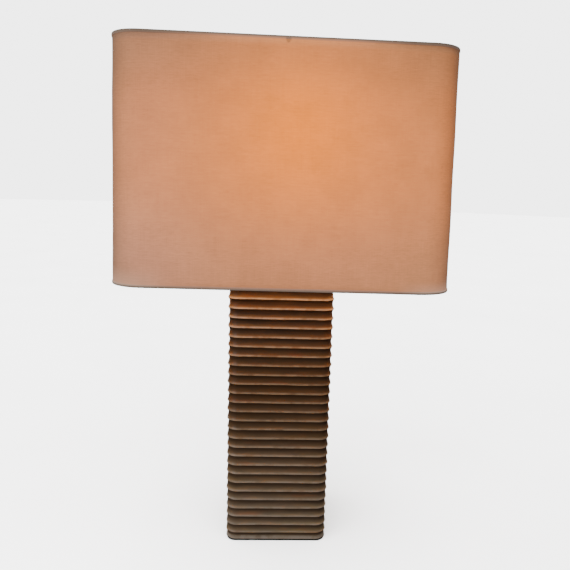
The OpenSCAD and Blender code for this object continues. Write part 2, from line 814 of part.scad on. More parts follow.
// One arm along +X, from the hub to the straight part of the ring at distance reach
module spider_arm(reach) {
    arm_r = ring_r;
    hub_mid_z = hub_z + hub_t / 2;
    rise = top_ring_z - hub_mid_z;
    slope = 45;
    slant = (rise - 2 * arm_bend_r * (1 - cos(slope))) / sin(slope);
    end_len = 12;
    start = hub_d / 2 - 3;
    bends = 2 * arm_bend_r * sin(slope) + slant * cos(slope);
    difference() {
        translate([start, 0, hub_mid_z]) wire_run(arm_r, [
            [reach - start - bends - end_len, slope, arm_bend_r],
            [slant, -slope, arm_bend_r],
            [end_len, 0, 0]
        ]);
        translate([0, 0, hub_z - cut]) cylinder(h = hub_t + 2 * cut, d = hub_d);
        translate([reach, 20, top_ring_z]) rotate([90, 0, 0]) cylinder(h = 40, r = ring_r + 0.02);
    }
}

module spider_arms() {
    color("silver") for (turn = [0 : 90 : 270]) {
        along_x = turn % 180 == 0;
        rotate([0, 0, turn]) spider_arm((along_x ? corner_x : corner_y) + ring_u(top_ring_z));
    }
}

module spider_hub() {
    color("silver") translate([0, 0, hub_z]) ring_disc(hub_d, stud_d + 2 * hub_gap, hub_t);
}

module finial_washer() {
    color("goldenrod") translate([0, 0, washer_z])
        ring_disc(finial_washer_d, stud_d + 2 * hub_gap, finial_washer_t);
}

module finial() {
    ball_r = finial_ball_d / 2;
    ball_z = finial_foot_h + ball_r - 1.5;
    bore_h = seat_z + stud_h + 1 - finial_z;
    color("goldenrod") translate([0, 0, finial_z]) difference() {
        union() {
            cylinder(h = finial_foot_h, d1 = finial_washer_d - 2, d2 = finial_washer_d - 5);
            translate([0, 0, ball_z]) sphere(ball_r);
            translate([0, 0, ball_z + ball_r - 1]) cylinder(h = 3, r = 2.5);
        }
        translate([0, 0, -cut]) cylinder(h = bore_h + cut, r = finial_bore_r);
    }
}

column_shell();
felt_pad();
base_plate();
base_washer();
base_nut();
lamp_pipe();
centring_bush();
cord_bush();
cord_bush_nut();
vase_cap();
neck_tube();
check_ring();
harp_saddle();
saddle_locknut();
harp_wire();
harp_top_stud();
harp_sleeve_left();
harp_sleeve_right();
socket_cap();
socket_set_screw();
socket_shell();
insulating_liner();
socket_body();
screw_shell();
centre_contact();
terminal_screws();
switch_shaft();
switch_key();
bulb_glass();
bulb_base();
bulb_insulator();
bulb_contact();
bulb_stem();
filament();
shade_fabric();
shade_lining();
top_ring();
bottom_ring();
top_hem();
bottom_hem();
spider_arms();
spider_hub();
finial_washer();
finial();
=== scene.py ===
"""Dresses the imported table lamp: a ribbed, glazed column, its foot, neck, harp, socket and bulb,
and a lit shade of slubbed cloth. Metres, +Z up, +Y to the back, origin in the middle of the foot."""

import math

import bmesh
import bpy
import numpy as np
from mathutils import Matrix, Vector


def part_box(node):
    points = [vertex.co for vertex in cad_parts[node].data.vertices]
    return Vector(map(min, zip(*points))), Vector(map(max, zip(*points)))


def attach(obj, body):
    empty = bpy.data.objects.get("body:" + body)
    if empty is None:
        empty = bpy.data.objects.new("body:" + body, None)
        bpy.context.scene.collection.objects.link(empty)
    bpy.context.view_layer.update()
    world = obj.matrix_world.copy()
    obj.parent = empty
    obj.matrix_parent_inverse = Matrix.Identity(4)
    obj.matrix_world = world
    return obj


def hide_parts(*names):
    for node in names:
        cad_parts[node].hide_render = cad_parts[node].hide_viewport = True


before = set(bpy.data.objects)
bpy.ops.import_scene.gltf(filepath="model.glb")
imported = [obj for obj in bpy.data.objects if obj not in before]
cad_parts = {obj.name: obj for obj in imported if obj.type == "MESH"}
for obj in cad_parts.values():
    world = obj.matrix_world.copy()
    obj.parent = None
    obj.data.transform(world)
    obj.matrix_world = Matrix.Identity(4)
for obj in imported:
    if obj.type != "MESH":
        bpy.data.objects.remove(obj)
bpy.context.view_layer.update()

bl_info = {
    "name": "Ribbed Table Lamp",
    "version": (1, 0, 0),
    "blender": (4, 5, 0),
    "location": "3D View > Sidebar > Lamp",
    "description": "Builds a ribbed table lamp with a lit cloth shade around its packed frame",
    "category": "Add Mesh",
}

MM = 0.001
COLUMN_LOW, COLUMN_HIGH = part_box("column_shell")
CLOTH_LOW, CLOTH_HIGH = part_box("shade_fabric")
TOP_HEM_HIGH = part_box("top_hem")[1]
BOTTOM_HEM_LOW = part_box("bottom_hem")[0]
FELT_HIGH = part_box("felt_pad")[1]
OUTLET_LOW, OUTLET_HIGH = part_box("cord_bush")
OUTLET_Z = (OUTLET_LOW.z + OUTLET_HIGH.z) / 2
CLOTH_TALL = CLOTH_HIGH.z - CLOTH_LOW.z

# How much wider than the solid the felt is on each side, so that its dark edge shows under the foot, standing
# in also for the shadow there
FELT_WIDER = 2.2 * MM

# The column: the radius of a ridge's nose, the wall, and the rebate and ledge in the foot
NOSE, WALL = 0.5 * MM, 10 * MM
REBATE, LEDGE_LOW, LEDGE_HIGH, LEDGE_WIDE = 8 * MM, 14 * MM, 20 * MM, 6 * MM

# Its holes: the top's radius, the cord outlet's radius, and where along Y that one is cut
TOP_HOLE, OUTLET_HOLE, OUTLET_CUT = 15 * MM, 6.2 * MM, (62 * MM, 80 * MM)

# The glow in the cloth: its middle, how far from there it is full, and over what distance it fades
GLOW_CENTRE = (0.018, 0.0, 0.600)
GLOW_REACH, GLOW_SPREAD = 0.126, 0.100

# The cloth's lap: its width, the way over which the end rises over the start, and the gap between them
LAP, LAP_RISE, LAP_GAP = 10 * MM, 5 * MM, 0.04 * MM

# The studio's light from above, the side and below, and the white that the camera sees behind the lamp
SKY_TOP, SKY_SIDE, SKY_UNDER, BACKDROP_WHITE = 1.0, 0.24, 0.03, 5.5
FLOOR_RADIUS, FLOOR_Z, FLOOR_STEPS = 14.0, -0.0002, 64

# The camera: its place, its yaw, pitch and roll in degrees, and its frame, focus and centre in pixels
CAMERA_PLACE, CAMERA_TURNS = (-0.0058, -0.887, 0.5373), (2.95, 10.96, 1.98)
FRAME_PX, FOCAL_PX, CENTRE_PX = 570, 585.62, (307.21, 298.27)
SENSOR_WIDTH = 36


class LampSizes(bpy.types.PropertyGroup):
    """Sizes of the pieces that are built here"""

    column_corner: bpy.props.FloatProperty(
        name="Column corner", description="Radius of the column's upright corners over the ridges",
        default=16.5 * MM, unit="LENGTH")
    rib_pitch: bpy.props.FloatProperty(
        name="Rib pitch", description="Height of one rib, ridge to ridge",
        default=14 * MM, unit="LENGTH")
    foot_rib: bpy.props.FloatProperty(
        name="Foot rib", description="Height of the lowest rib, under the first ridge",
        default=10.6 * MM, unit="LENGTH")
    rib_depth: bpy.props.FloatProperty(
        name="Rib depth", description="How deep a rib is hollowed behind its ridge",
        default=2.05 * MM, unit="LENGTH")
    ridge_wave: bpy.props.FloatProperty(
        name="Ridge wave", description="How far a hand-made ridge strays up and down",
        default=0.26 * MM, unit="LENGTH")
    low_stray: bpy.props.FloatProperty(
        name="Low stray", description="How much higher than its place the lowest ridge sits",
        default=1.5 * MM, unit="LENGTH")
    shade_lean: bpy.props.FloatProperty(
        name="Shade lean", description="How far each side of the shade leans in from bottom to top",
        default=8 * MM, unit="LENGTH")
    shade_corner: bpy.props.FloatProperty(
        name="Shade corner", description="Radius of the shade's corners at the bottom",
        default=48.5 * MM, unit="LENGTH")
    cloth_thickness: bpy.props.FloatProperty(
        name="Cloth thickness", description="Thickness of the shade's cloth",
        default=0.8 * MM, unit="LENGTH")
    hem_height: bpy.props.FloatProperty(
        name="Hem height", description="Height of the hem tapes on the cloth",
        default=4.2 * MM, unit="LENGTH")
    yarn: bpy.props.FloatProperty(
        name="Yarn", description="Distance from one thread of the cloth to the next",
        default=0.55 * MM, unit="LENGTH")


class LampColours(bpy.types.PropertyGroup):
    """Colours that a user would change"""

    glaze: bpy.props.FloatVectorProperty(
        name="Glaze", description="The column's glaze at its foot", subtype="COLOR",
        default=(0.214, 0.147, 0.088))
    # Painted shade and lamplight: the upper ribs are drawn darker and redder where the lampshade hangs over
    # them and its light falls
    glaze_upper_shaded: bpy.props.FloatVectorProperty(
        name="Upper glaze", description="The thicker, redder glaze of the upper ribs", subtype="COLOR",
        default=(0.126, 0.057, 0.0175))
    # Pooled glaze and painted shade: the dark under each ridge
    glaze_pooled_shade: bpy.props.FloatVectorProperty(
        name="Dark glaze", description="The glaze pooled under the ridges", subtype="COLOR",
        default=(0.088, 0.052, 0.029))
    # Thin glaze and a painted highlight: the pale over each ridge
    glaze_thin_highlight: bpy.props.FloatVectorProperty(
        name="Thin glaze", description="The glaze where it breaks over the ridges", subtype="COLOR",
        default=(0.345, 0.268, 0.198))
    cloth: bpy.props.FloatVectorProperty(
        name="Cloth", description="The shade's cloth by daylight", subtype="COLOR",
        default=(0.20, 0.115, 0.052))
    glow_near: bpy.props.FloatVectorProperty(
        name="Glow near the bulb", description="Light through the cloth close to the bulb",
        subtype="COLOR", soft_max=2, default=(1.57, 0.355, 0.002))
    glow_far: bpy.props.FloatVectorProperty(
        name="Glow away from the bulb", description="Light through the cloth away from the bulb",
        subtype="COLOR", soft_max=2, default=(0.74, 0.25, 0.108))
    glow_low: bpy.props.FloatVectorProperty(
        name="Glow at the bottom", description="Cooler light through the cloth over its bottom edge",
        subtype="COLOR", soft_max=2, default=(0.70, 0.295, 0.170))
    hem: bpy.props.FloatVectorProperty(
        name="Hem", description="The hem tapes", subtype="COLOR",
        default=(0.20, 0.135, 0.085))
    brass: bpy.props.FloatVectorProperty(
        name="Brass", description="The lacquered brass", subtype="COLOR",
        default=(0.60, 0.40, 0.17))
    lamplight: bpy.props.FloatVectorProperty(
        name="Lamplight", description="The bulb's light", subtype="COLOR",
        default=(1.0, 0.50, 0.19))


# Paths round a rectangle with round corners

def path_round(corner_x, corner_y, out, step):
    """Points once round, from the middle of the back by the left: feet, outward normals and lengths along."""
    feet, normals = [], []
    corners = [(-corner_x, corner_y), (-corner_x, -corner_y), (corner_x, -corner_y), (corner_x, corner_y)]
    stops = [(0, corner_y), *corners, (0, corner_y)]
    corner_steps = max(6, round(math.pi / 2 * out / step))
    for normal, start, end in zip([(0, 1), (-1, 0), (0, -1), (1, 0), (0, 1)], stops, stops[1:]):
        long = math.dist(start, end)
        count = max(1, round(long / step))
        for k in range(count):
            t = k / count
            feet.append([a + (b - a) * t for a, b in zip(start, end)])
            normals.append(normal)
        if end in corners:
            angle = math.atan2(normal[1], normal[0])
            for k in range(corner_steps):
                a = angle + math.pi / 2 * k / corner_steps
                feet.append(end)
                normals.append((math.cos(a), math.sin(a)))
    feet, normals = np.array(feet, float), np.array(normals, float)
    points = feet + normals * out
    gaps = np.linalg.norm(np.roll(points, -1, 0) - points, axis=1)
    along = np.concatenate([[0], np.cumsum(gaps)])
    return feet, normals, along


def ring_at(feet, normals, out, z):
    """One ring of points at a distance outwards from the corners' axes, at a height."""
    flat = feet + normals * np.reshape(out, (-1, 1))
    return np.column_stack([flat, np.broadcast_to(z, len(flat))])


def ring_faces(rings, points, closed_profile=False, closed_path=True):
    """Quads between rings of points."""
    faces = []
    last_ring = rings if closed_profile else rings - 1
    last_point = points if closed_path else points - 1
    for j in range(last_ring):
        a, b = j * points, (j + 1) % rings * points
        for i in range(last_point):
            n = (i + 1) % points
            faces.append((a + i, a + n, b + n, b + i))
    return faces


def smooth_step(share):
    """From 0 to 1 with soft ends."""
    share = np.clip(share, 0, 1)
    return share * share * (3 - 2 * share)


def wave_round(rng, along, length, height, low=1, high=14):
    """A smooth random wave that closes on itself, of about the given height."""
    turns = np.arange(low, high + 1)
    sizes = rng.normal(size=len(turns)) / turns ** 0.6
    starts = rng.uniform(0, 2 * math.pi, len(turns))
    wave = (sizes * np.cos(2 * math.pi * turns * along[:, None] / length + starts)).sum(1)
    return height * wave / max(np.abs(wave).max(), 1e-9)


# Pieces

def link_new(name, data):
    """An object of this data, in the scene."""
    made = bpy.data.objects.new(name, data)
    bpy.context.scene.collection.objects.link(made)
    return made


def closed_mesh(name, verts, faces):
    """A mesh with its faces turned outwards."""
    mesh = bpy.data.meshes.new(name)
    mesh.from_pydata([tuple(map(float, v)) for v in verts], [], faces)
    mesh.validate()
    shell = bmesh.new()
    shell.from_mesh(mesh)
    bmesh.ops.recalc_face_normals(shell, faces=shell.faces)
    shell.to_mesh(mesh)
    shell.free()
    return mesh


def new_piece(name, verts, faces, material, body):
    """A smooth mesh piece in the frame, with its material, on its body."""
    mesh = closed_mesh(name, verts, faces)
    piece = link_new(name, mesh)
    mesh.polygons.foreach_set("use_smooth", [True] * len(mesh.polygons))
    mesh.materials.append(material)
    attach(piece, body)
    return piece


def mark_points(piece, marks):
    """Keeps named numbers for each point of a piece, for its material."""
    for name, values in marks.items():
        layer = piece.data.attributes.new(name, "FLOAT", "POINT")
        layer.data.foreach_set("value", np.asarray(values, np.float32))


def cut_with(piece, tools):
    """Cuts tool meshes out of a piece."""
    for verts, faces in tools:
        mesh = closed_mesh("tool", verts, faces)
        tool = link_new("tool", mesh)
        knife = piece.modifiers.new("cut", "BOOLEAN")
        knife.operation = "DIFFERENCE"
        knife.solver = "EXACT"
        knife.object = tool
        bpy.context.view_layer.update()
        made = bpy.data.meshes.new_from_object(piece.evaluated_get(bpy.context.evaluated_depsgraph_get()))
        piece.modifiers.clear()
        old = piece.data
        piece.data = made
        made.name = old.name
        bpy.data.meshes.remove(old)
        bpy.data.objects.remove(tool)
        bpy.data.meshes.remove(mesh)


def block(low, high):
    """A box's points and faces."""
    verts = [(x, y, z) for x in (low[0], high[0]) for y in (low[1], high[1]) for z in (low[2], high[2])]
    faces = [(0, 1, 3, 2), (4, 6, 7, 5), (0, 4, 5, 1), (2, 3, 7, 6), (0, 2, 6, 4), (1, 5, 7, 3)]
    return verts, faces


def rod_along_y(z, radius, start, end):
    """A round rod's points and faces, along Y."""
    steps = 48
    turns = [2 * math.pi * k / steps for k in range(steps)]
    verts = [(radius * math.cos(a), y, z + radius * math.sin(a)) for y in (start, end) for a in turns]
    faces = ring_faces(2, steps)
    faces += [tuple(range(steps)), tuple(range(2 * steps - 1, steps - 1, -1))]
    return verts, faces


# Materials

class Nodes:
    """Builds a node tree with few words."""

    def __init__(self, tree):
        self.tree = tree
        tree.nodes.clear()

    def node(self, kind, **settings):
        made = self.tree.nodes.new(kind)
        for key, value in settings.items():
            setattr(made, key, value)
        return made

    def set(self, socket, value):
        if isinstance(value, bpy.types.NodeSocket):
            self.tree.links.new(value, socket)
        elif value is not None:
            socket.default_value = (*value, 1) if socket.type == "RGBA" else value

    def fill(self, made, values, out=0):
        """Sets a node's sockets, by order, number or name, and gives one of its outputs."""
        for socket, value in values.items() if isinstance(values, dict) else enumerate(values):
            self.set(made.inputs[socket], value)
        return made.outputs[out]

    def math(self, operation, *values, clamp=False):
        return self.fill(self.node("ShaderNodeMath", operation=operation, use_clamp=clamp), values)

    def plus(self, a, b):
        return self.math("ADD", a, b)

    def minus(self, a, b):
        return self.math("SUBTRACT", a, b)

    def times(self, a, b, clamp=False):
        return self.math("MULTIPLY", a, b, clamp=clamp)

    def vector(self, operation, *values, out=0):
        return self.fill(self.node("ShaderNodeVectorMath", operation=operation), values, out)

    def parts(self, vector):
        made = self.node("ShaderNodeSeparateXYZ")
        self.set(made.inputs[0], vector)
        return made.outputs

    def join(self, x, y, z):
        return self.fill(self.node("ShaderNodeCombineXYZ"), (x, y, z))

    def ramp(self, value, low, high, out_low=0.0, out_high=1.0, smooth=True):
        """Goes from one value to another while the input goes from low to high, and stays there."""
        made = self.node("ShaderNodeMapRange", clamp=True)
        made.interpolation_type = "SMOOTHSTEP" if smooth else "LINEAR"
        return self.fill(made, (value, low, high, out_low, out_high))

    def mix(self, share, a, b, blend="MIX"):
        made = self.node("ShaderNodeMix", data_type="RGBA", blend_type=blend)
        return self.fill(made, {0: share, 6: a, 7: b}, 2)

    def tint(self, share, colour, factor):
        """Multiplies a colour by another, by a share."""
        return self.mix(share, colour, factor, "MULTIPLY")

    def scaled(self, colour, strength):
        return self.tint(1.0, colour, self.join(strength, strength, strength))


class Paint(Nodes):
    """A material round one principled shader. Its places are the piece's own, in metres."""

    def __init__(self, name):
        self.material = bpy.data.materials.get(name) or bpy.data.materials.new(name)
        self.material.use_nodes = True
        super().__init__(self.material.node_tree)
        self.shader = self.node("ShaderNodeBsdfPrincipled")
        self.set(self.node("ShaderNodeOutputMaterial").inputs[0], self.shader.outputs[0])
        self.place = self.node("ShaderNodeTexCoord").outputs["Object"]

    def noise(self, scale, detail=3, rough=0.5, place=None, stretch=None):
        """Noise from 0 to 1, finer with a larger scale, in features per metre."""
        place = place or self.place
        if stretch:
            place = self.vector("MULTIPLY", place, stretch)
        values = {"Vector": place, "Scale": scale, "Detail": detail, "Roughness": rough}
        return self.fill(self.node("ShaderNodeTexNoise"), values, "Fac")

    def mark(self, name):
        """A number that the mesh keeps for each of its points."""
        return self.node("ShaderNodeAttribute", attribute_name=name).outputs["Fac"]

    def bump(self, height, depth, strength=1.0, under=None):
        values = {"Height": height, "Distance": depth, "Strength": strength, "Normal": under}
        return self.fill(self.node("ShaderNodeBump"), values)

    def finish(self, **values):
        for name, value in values.items():
            self.set(self.shader.inputs[name.replace("_", " ")], value)
        return self.material


def paint_glaze(colours):
    """Bronze-brown glaze, with painted light: pooled glaze and painted shade under each ridge, thin glaze and
    a painted highlight over each, and painted shade and lamplight by height.
    """
    p = Paint("bronze_glaze")
    cloud = p.noise(9, 4, 0.55, stretch=(1, 1, 2.2))
    streak = p.noise(60, 3, 0.6, stretch=(0.5, 0.5, 2.5))
    patch = p.noise(14, 2, 0.5, stretch=(1, 1, 3))
    speck = p.noise(900, 2, 0.6)
    true_height = p.parts(p.place)[2]
    height = p.plus(true_height, p.ramp(cloud, 0.3, 0.7, -0.02, 0.02))
    # Painted light by height, for the lampshade's shade and its light on the column: higher up the glaze is
    # darker and redder (high), the middle ribs are a painted shade darker (middle), and the top ribs are
    # cooler with darker hollows (top)
    high = p.ramp(height, 0.035, 0.255, smooth=False)
    middle = p.times(p.ramp(height, 0.09, 0.24), p.ramp(height, 0.325, 0.285))
    top = p.ramp(height, 0.32, 0.385)
    body = p.mix(high, colours.glaze, colours.glaze_upper_shaded)
    body = p.tint(p.ramp(cloud, 0.40, 0.68, 0, 0.7), body, (0.97, 1.06, 0.80))
    body = p.tint(p.ramp(patch, 0.56, 0.70, 0, 0.8), body, (1.30, 0.90, 0.78))
    body = p.tint(p.ramp(patch, 0.44, 0.30, 0, 0.8), body, (0.86, 0.84, 1.0))
    body = p.tint(p.ramp(streak, 0.42, 0.72, 0, 0.8), body, (1.42, 1.20, 0.96))
    body = p.tint(p.ramp(streak, 0.46, 0.26, 0, 0.8), body, (0.78, 0.80, 0.84))
    body = p.tint(middle, body, (0.84, 0.77, 0.66))
    body = p.tint(top, body, (0.78, 1.0, 1.22))
    # Painted shade with pooled glaze under each ridge, deeper towards the top
    pooled = p.times(p.mark("pool_shade"), p.ramp(height, 0.29, 0.34, 1.0, 1.7), clamp=True)
    pooled = p.times(pooled, p.ramp(streak, 0.2, 0.8, 1.0, 0.82))
    dark = p.tint(high, colours.glaze_pooled_shade, (0.80, 0.64, 0.50))
    dark = p.tint(top, dark, (0.50, 0.54, 0.60))
    body = p.mix(pooled, body, dark)
    # Thin glaze and a painted highlight over each ridge's lip, broken by noise
    thin = p.times(p.mark("lip"), p.ramp(p.noise(70, 4, 0.6), 0.34, 0.60, 0.45, 1.0))
    pale = p.tint(high, colours.glaze_thin_highlight, (1.20, 1.07, 0.92))
    pale = p.tint(middle, pale, (0.72, 0.69, 0.62))
    pale = p.tint(top, pale, (0.95, 1.08, 1.45))
    body = p.mix(thin, body, pale)
    body = p.mix(p.ramp(speck, 0.68, 0.76, 0, 0.5), body, (0.05, 0.03, 0.02))
    # Painted shadow: the lowest millimetres of the foot are drawn nearly black, for the shade under it
    foot_shadow = p.ramp(true_height, COLUMN_LOW.z + 1.0 * MM, COLUMN_LOW.z + 2.0 * MM, 1.0, 0.0)
    body = p.mix(foot_shadow, body, (0.014, 0.011, 0.008))
    rough = p.ramp(p.noise(45, 4, 0.6), 0.3, 0.7, 0.40, 0.58)
    relief = p.bump(p.noise(170, 4, 0.55), 0.0006, 0.5)
    relief = p.bump(p.noise(1400, 2, 0.5), 0.00008, 0.6, relief)
    return p.finish(Base_Color=body, Roughness=rough, Normal=relief, Specular_IOR_Level=0.3,
                    Coat_Weight=0.08, Coat_Roughness=0.25)


def arm_shadow(p, below):
    """The spider's arms end behind the cloth's top, and each throws a small soft shadow on it."""
    x, y, _ = p.parts(p.place)
    tip = p.ramp(below, 3.0 * MM, 9.0 * MM, 1.0, 0.0, smooth=False)
    wide = p.math("MULTIPLY_ADD", tip, 4.0 * MM, 0.6 * MM)
    nearest = p.math("MINIMUM", p.math("ABSOLUTE", x), p.math("ABSOLUTE", y))
    shadow = p.ramp(p.math("DIVIDE", nearest, wide), 0.2, 1.5, 0.46, 0.0)
    return p.times(shadow, p.ramp(tip, 0.0, 0.5))


def paint_cloth(colours, sizes):
    """Slubbed plain weave, lit from behind. The glow falls off with the distance from the bulb."""
    p = Paint("shade_cloth")
    along, up = p.mark("along"), p.mark("up")
    yarn = 2 * math.pi / sizes.yarn
    flat = p.join(along, up, 0.0)
    slub = p.noise(1.0, 3, 0.6, place=p.vector("MULTIPLY", flat, (130, 950, 1)))
    long_slub = p.noise(1.0, 2, 0.5, place=p.vector("MULTIPLY", flat, (34, 480, 1)))
    warp_slub = p.noise(1.0, 2, 0.5, place=p.vector("MULTIPLY", flat, (800, 22, 1)))
    weft = p.math("SINE", p.times(up, yarn))
    warp = p.math("SINE", p.times(along, yarn))
    cross = p.times(weft, warp)
    threads = p.plus(p.times(slub, 0.80), p.times(long_slub, 0.40))
    threads = p.plus(threads, p.times(warp_slub, 0.3))
    density = p.ramp(threads, 0.5, 1.0, 0.87, 1.13, smooth=False)
    density = p.plus(density, p.times(cross, 0.02))
    mottle = p.ramp(p.noise(26, 4, 0.6), 0.3, 0.7, 0.95, 1.05)
    density = p.times(density, mottle)

    away = p.vector("SUBTRACT", p.place, GLOW_CENTRE)
    beyond = p.minus(p.vector("DOT_PRODUCT", away, away, out=1), GLOW_REACH ** 2)
    spread = p.math("MULTIPLY_ADD", p.math("MAXIMUM", beyond, 0.0), 1 / GLOW_SPREAD ** 2, 1.0)
    near = p.math("DIVIDE", 1.0, spread)
    across, _, height = p.parts(p.place)
    far_glow = p.mix(p.ramp(height, 0.415, 0.56), colours.glow_low, colours.glow_far)
    far_glow = p.mix(p.ramp(height, 0.63, 0.71, 0.0, 0.8), far_glow, (0.62, 0.265, 0.142))
    # Painted daylight from the left: the glow is bluer on the left side, warmer and a little dimmer on the
    # right
    far_glow = p.tint(p.ramp(across, -0.05, -0.20), far_glow, (0.98, 1.05, 1.25))
    far_glow = p.tint(p.ramp(across, 0.05, 0.20), far_glow, (0.955, 0.96, 0.89))
    glow = p.mix(near, far_glow, colours.glow_near)
    top_fall = p.times(p.ramp(height, 0.585, 0.715, 0.0, 0.48), p.math("POWER", p.minus(1.0, near), 1.5))
    low_fall = p.plus(p.ramp(height, 0.42, 0.53, 0.18, 0.0), p.ramp(height, 0.400, 0.440, 0.09, 0.0))
    fall = p.minus(p.minus(1.0, top_fall), low_fall)
    # Painted shade: the glow dims where the cloth turns round its corners
    corner_shading = p.math("MAXIMUM", p.math("POWER", p.mark("facing"), 1.5), 0.40)
    strength = p.times(p.times(density, fall), corner_shading)
    strength = p.times(strength, p.math("MULTIPLY_ADD", p.mark("doubled"), -0.24, 1.0))

    # The rings and hems keep light off the cloth's edges: above most at the corners, below in the middle
    outward = p.math("ABSOLUTE", across)
    below = p.minus(CLOTH_TALL, up)
    top_edge = p.times(p.ramp(below, 2.5 * MM, 13 * MM, 1.0, 0.0), p.ramp(outward, 0.04, 0.20, 0.03, 0.53))
    low_edge = p.times(p.ramp(up, 2.5 * MM, 10 * MM, 1.0, 0.0), p.ramp(outward, 0.10, 0.18, 0.18, 0.0))
    strength = p.times(strength, p.minus(p.minus(1.0, top_edge), low_edge))
    strength = p.times(strength, p.minus(1.0, arm_shadow(p, below)))
    glow = p.scaled(glow, strength)
    glow = p.tint(p.ramp(below, 4 * MM, 13 * MM, 1.0, 0.0), glow, (1.15, 1.34, 1.70))

    # The light low at the corners is paler
    pale_left = p.times(p.ramp(up, 1.0 * MM, 30 * MM, 0.6, 0.0), p.ramp(across, -0.14, -0.20))
    pale_right = p.times(p.ramp(up, 1.0 * MM, 20 * MM, 0.5, 0.0), p.ramp(across, 0.14, 0.20))
    glow = p.mix(p.plus(pale_left, pale_right), glow, (0.66, 0.36, 0.25))
    base = p.scaled(colours.cloth, density)
    weave = p.plus(p.times(cross, 0.35), p.times(slub, 1.2))
    relief = p.bump(weave, 0.00018, 0.5)
    return p.finish(Base_Color=base, Roughness=0.92, Normal=relief, Sheen_Weight=0.25, Sheen_Roughness=0.5,
                    Emission_Color=glow, Emission_Strength=1.0, Specular_IOR_Level=0.2)


def paint_hem(colours):
    """Rolled tape of the shade's cloth. The wire behind its fold stops the light, its free edge glows."""
    p = Paint("hem_tape")
    along = p.mark("along")
    x, y, height = p.parts(p.place)
    twill = p.math("SINE", p.times(p.plus(along, height), 2 * math.pi / (0.9 * MM)))
    fine = p.noise(1300, 3, 0.6)
    colour = p.mix(p.ramp(p.noise(130, 3, 0.6), 0.3, 0.7), colours.hem, (0.17, 0.115, 0.072))
    colour = p.mix(p.ramp(fine, 0.35, 0.7, 0, 0.4), colour, (0.29, 0.21, 0.145))
    outward = p.math("ABSOLUTE", x)
    low = p.ramp(height, 0.50, 0.60, 1.0, 0.0)
    corner = p.ramp(outward, 0.05, 0.18)
    shut = p.mix(corner, (0.13, 0.096, 0.080), (0.062, 0.050, 0.042))
    high_lit = p.mix(corner, (0.66, 0.265, 0.13), (0.16, 0.085, 0.060))
    low_lit = p.mix(p.ramp(outward, 0.14, 0.20), (0.36, 0.165, 0.11), (0.46, 0.29, 0.22))
    lit = p.ramp(p.mark("fold"), 0.28, 0.95)
    # Painted shadow of the spider's arms on the top tape's fold
    arm = p.ramp(p.math("MINIMUM", outward, p.math("ABSOLUTE", y)), 1.5 * MM, 5.0 * MM, 0.65, 0.0)
    lit = p.times(lit, p.minus(1.0, p.times(arm, p.minus(1.0, low))))
    glow = p.mix(lit, shut, p.mix(low, high_lit, low_lit))
    relief = p.bump(p.plus(p.times(twill, 0.4), fine), 0.0002, 0.6)
    return p.finish(Base_Color=colour, Roughness=0.95, Normal=relief, Sheen_Weight=0.3, Sheen_Roughness=0.5,
                    Emission_Color=glow, Emission_Strength=1.0, Specular_IOR_Level=0.15)


def paint_felt():
    """Pressed felt: matted, mixed fibres."""
    p = Paint("felt")
    fibre = p.noise(2600, 4, 0.7)
    tuft = p.noise(300, 3, 0.6)
    colour = p.mix(p.ramp(fibre, 0.35, 0.68), (0.012, 0.012, 0.011), (0.050, 0.048, 0.043))
    colour = p.mix(p.ramp(tuft, 0.5, 0.8, 0, 0.4), colour, (0.07, 0.066, 0.058))
    relief = p.bump(p.plus(fibre, p.times(tuft, 0.6)), 0.0005, 0.8)
    return p.finish(Base_Color=colour, Roughness=1.0, Normal=relief, Sheen_Weight=0.4, Sheen_Roughness=0.6,
                    Specular_IOR_Level=0.1)


def paint_metal(name, colour, worn, rough, lines=0.0, line_scale=(1, 1, 60)):
    """Metal with tarnish, fine lines from the tool that made it, and handling marks."""
    p = Paint(name)
    cloud = p.noise(70, 4, 0.6)
    line = p.noise(150, 3, 0.6, stretch=line_scale)
    grime = p.noise(320, 3, 0.65)
    tone = p.mix(p.ramp(cloud, 0.38, 0.66), colour, worn)
    tone = p.mix(p.ramp(grime, 0.62, 0.8, 0, 0.5), tone, tuple(0.45 * c for c in worn))
    roughness = p.plus(p.ramp(cloud, 0.3, 0.7, rough * 0.8, rough * 1.25), p.ramp(grime, 0.5, 0.8, 0, 0.12))
    relief = p.bump(p.plus(p.times(line, lines), p.times(grime, 0.3)), 0.00008, 0.6)
    return p.finish(Base_Color=tone, Metallic=1.0, Roughness=roughness, Normal=relief)


def paint_moulding(name, colour, lighter, rough, grain):
    """Moulded plastic, rubber or phenolic, with a faint grain."""
    p = Paint(name)
    speck = p.noise(grain, 3, 0.6)
    tone = p.mix(p.ramp(p.noise(90, 3, 0.5), 0.35, 0.7), colour, lighter)
    roughness = p.ramp(speck, 0.3, 0.7, rough * 0.85, rough * 1.15)
    return p.finish(Base_Color=tone, Roughness=roughness, Normal=p.bump(speck, 0.00006, 0.5))


def paint_powder_coat(name, colour, darker):
    """Sprayed coat with orange peel, a little soiled."""
    p = Paint(name)
    peel = p.noise(1100, 2, 0.5)
    tone = p.mix(p.ramp(p.noise(60, 4, 0.6), 0.45, 0.75, 0, 0.8), colour, darker)
    return p.finish(Base_Color=tone, Roughness=p.ramp(peel, 0.3, 0.7, 0.38, 0.5),
                    Normal=p.bump(peel, 0.00008, 0.5))


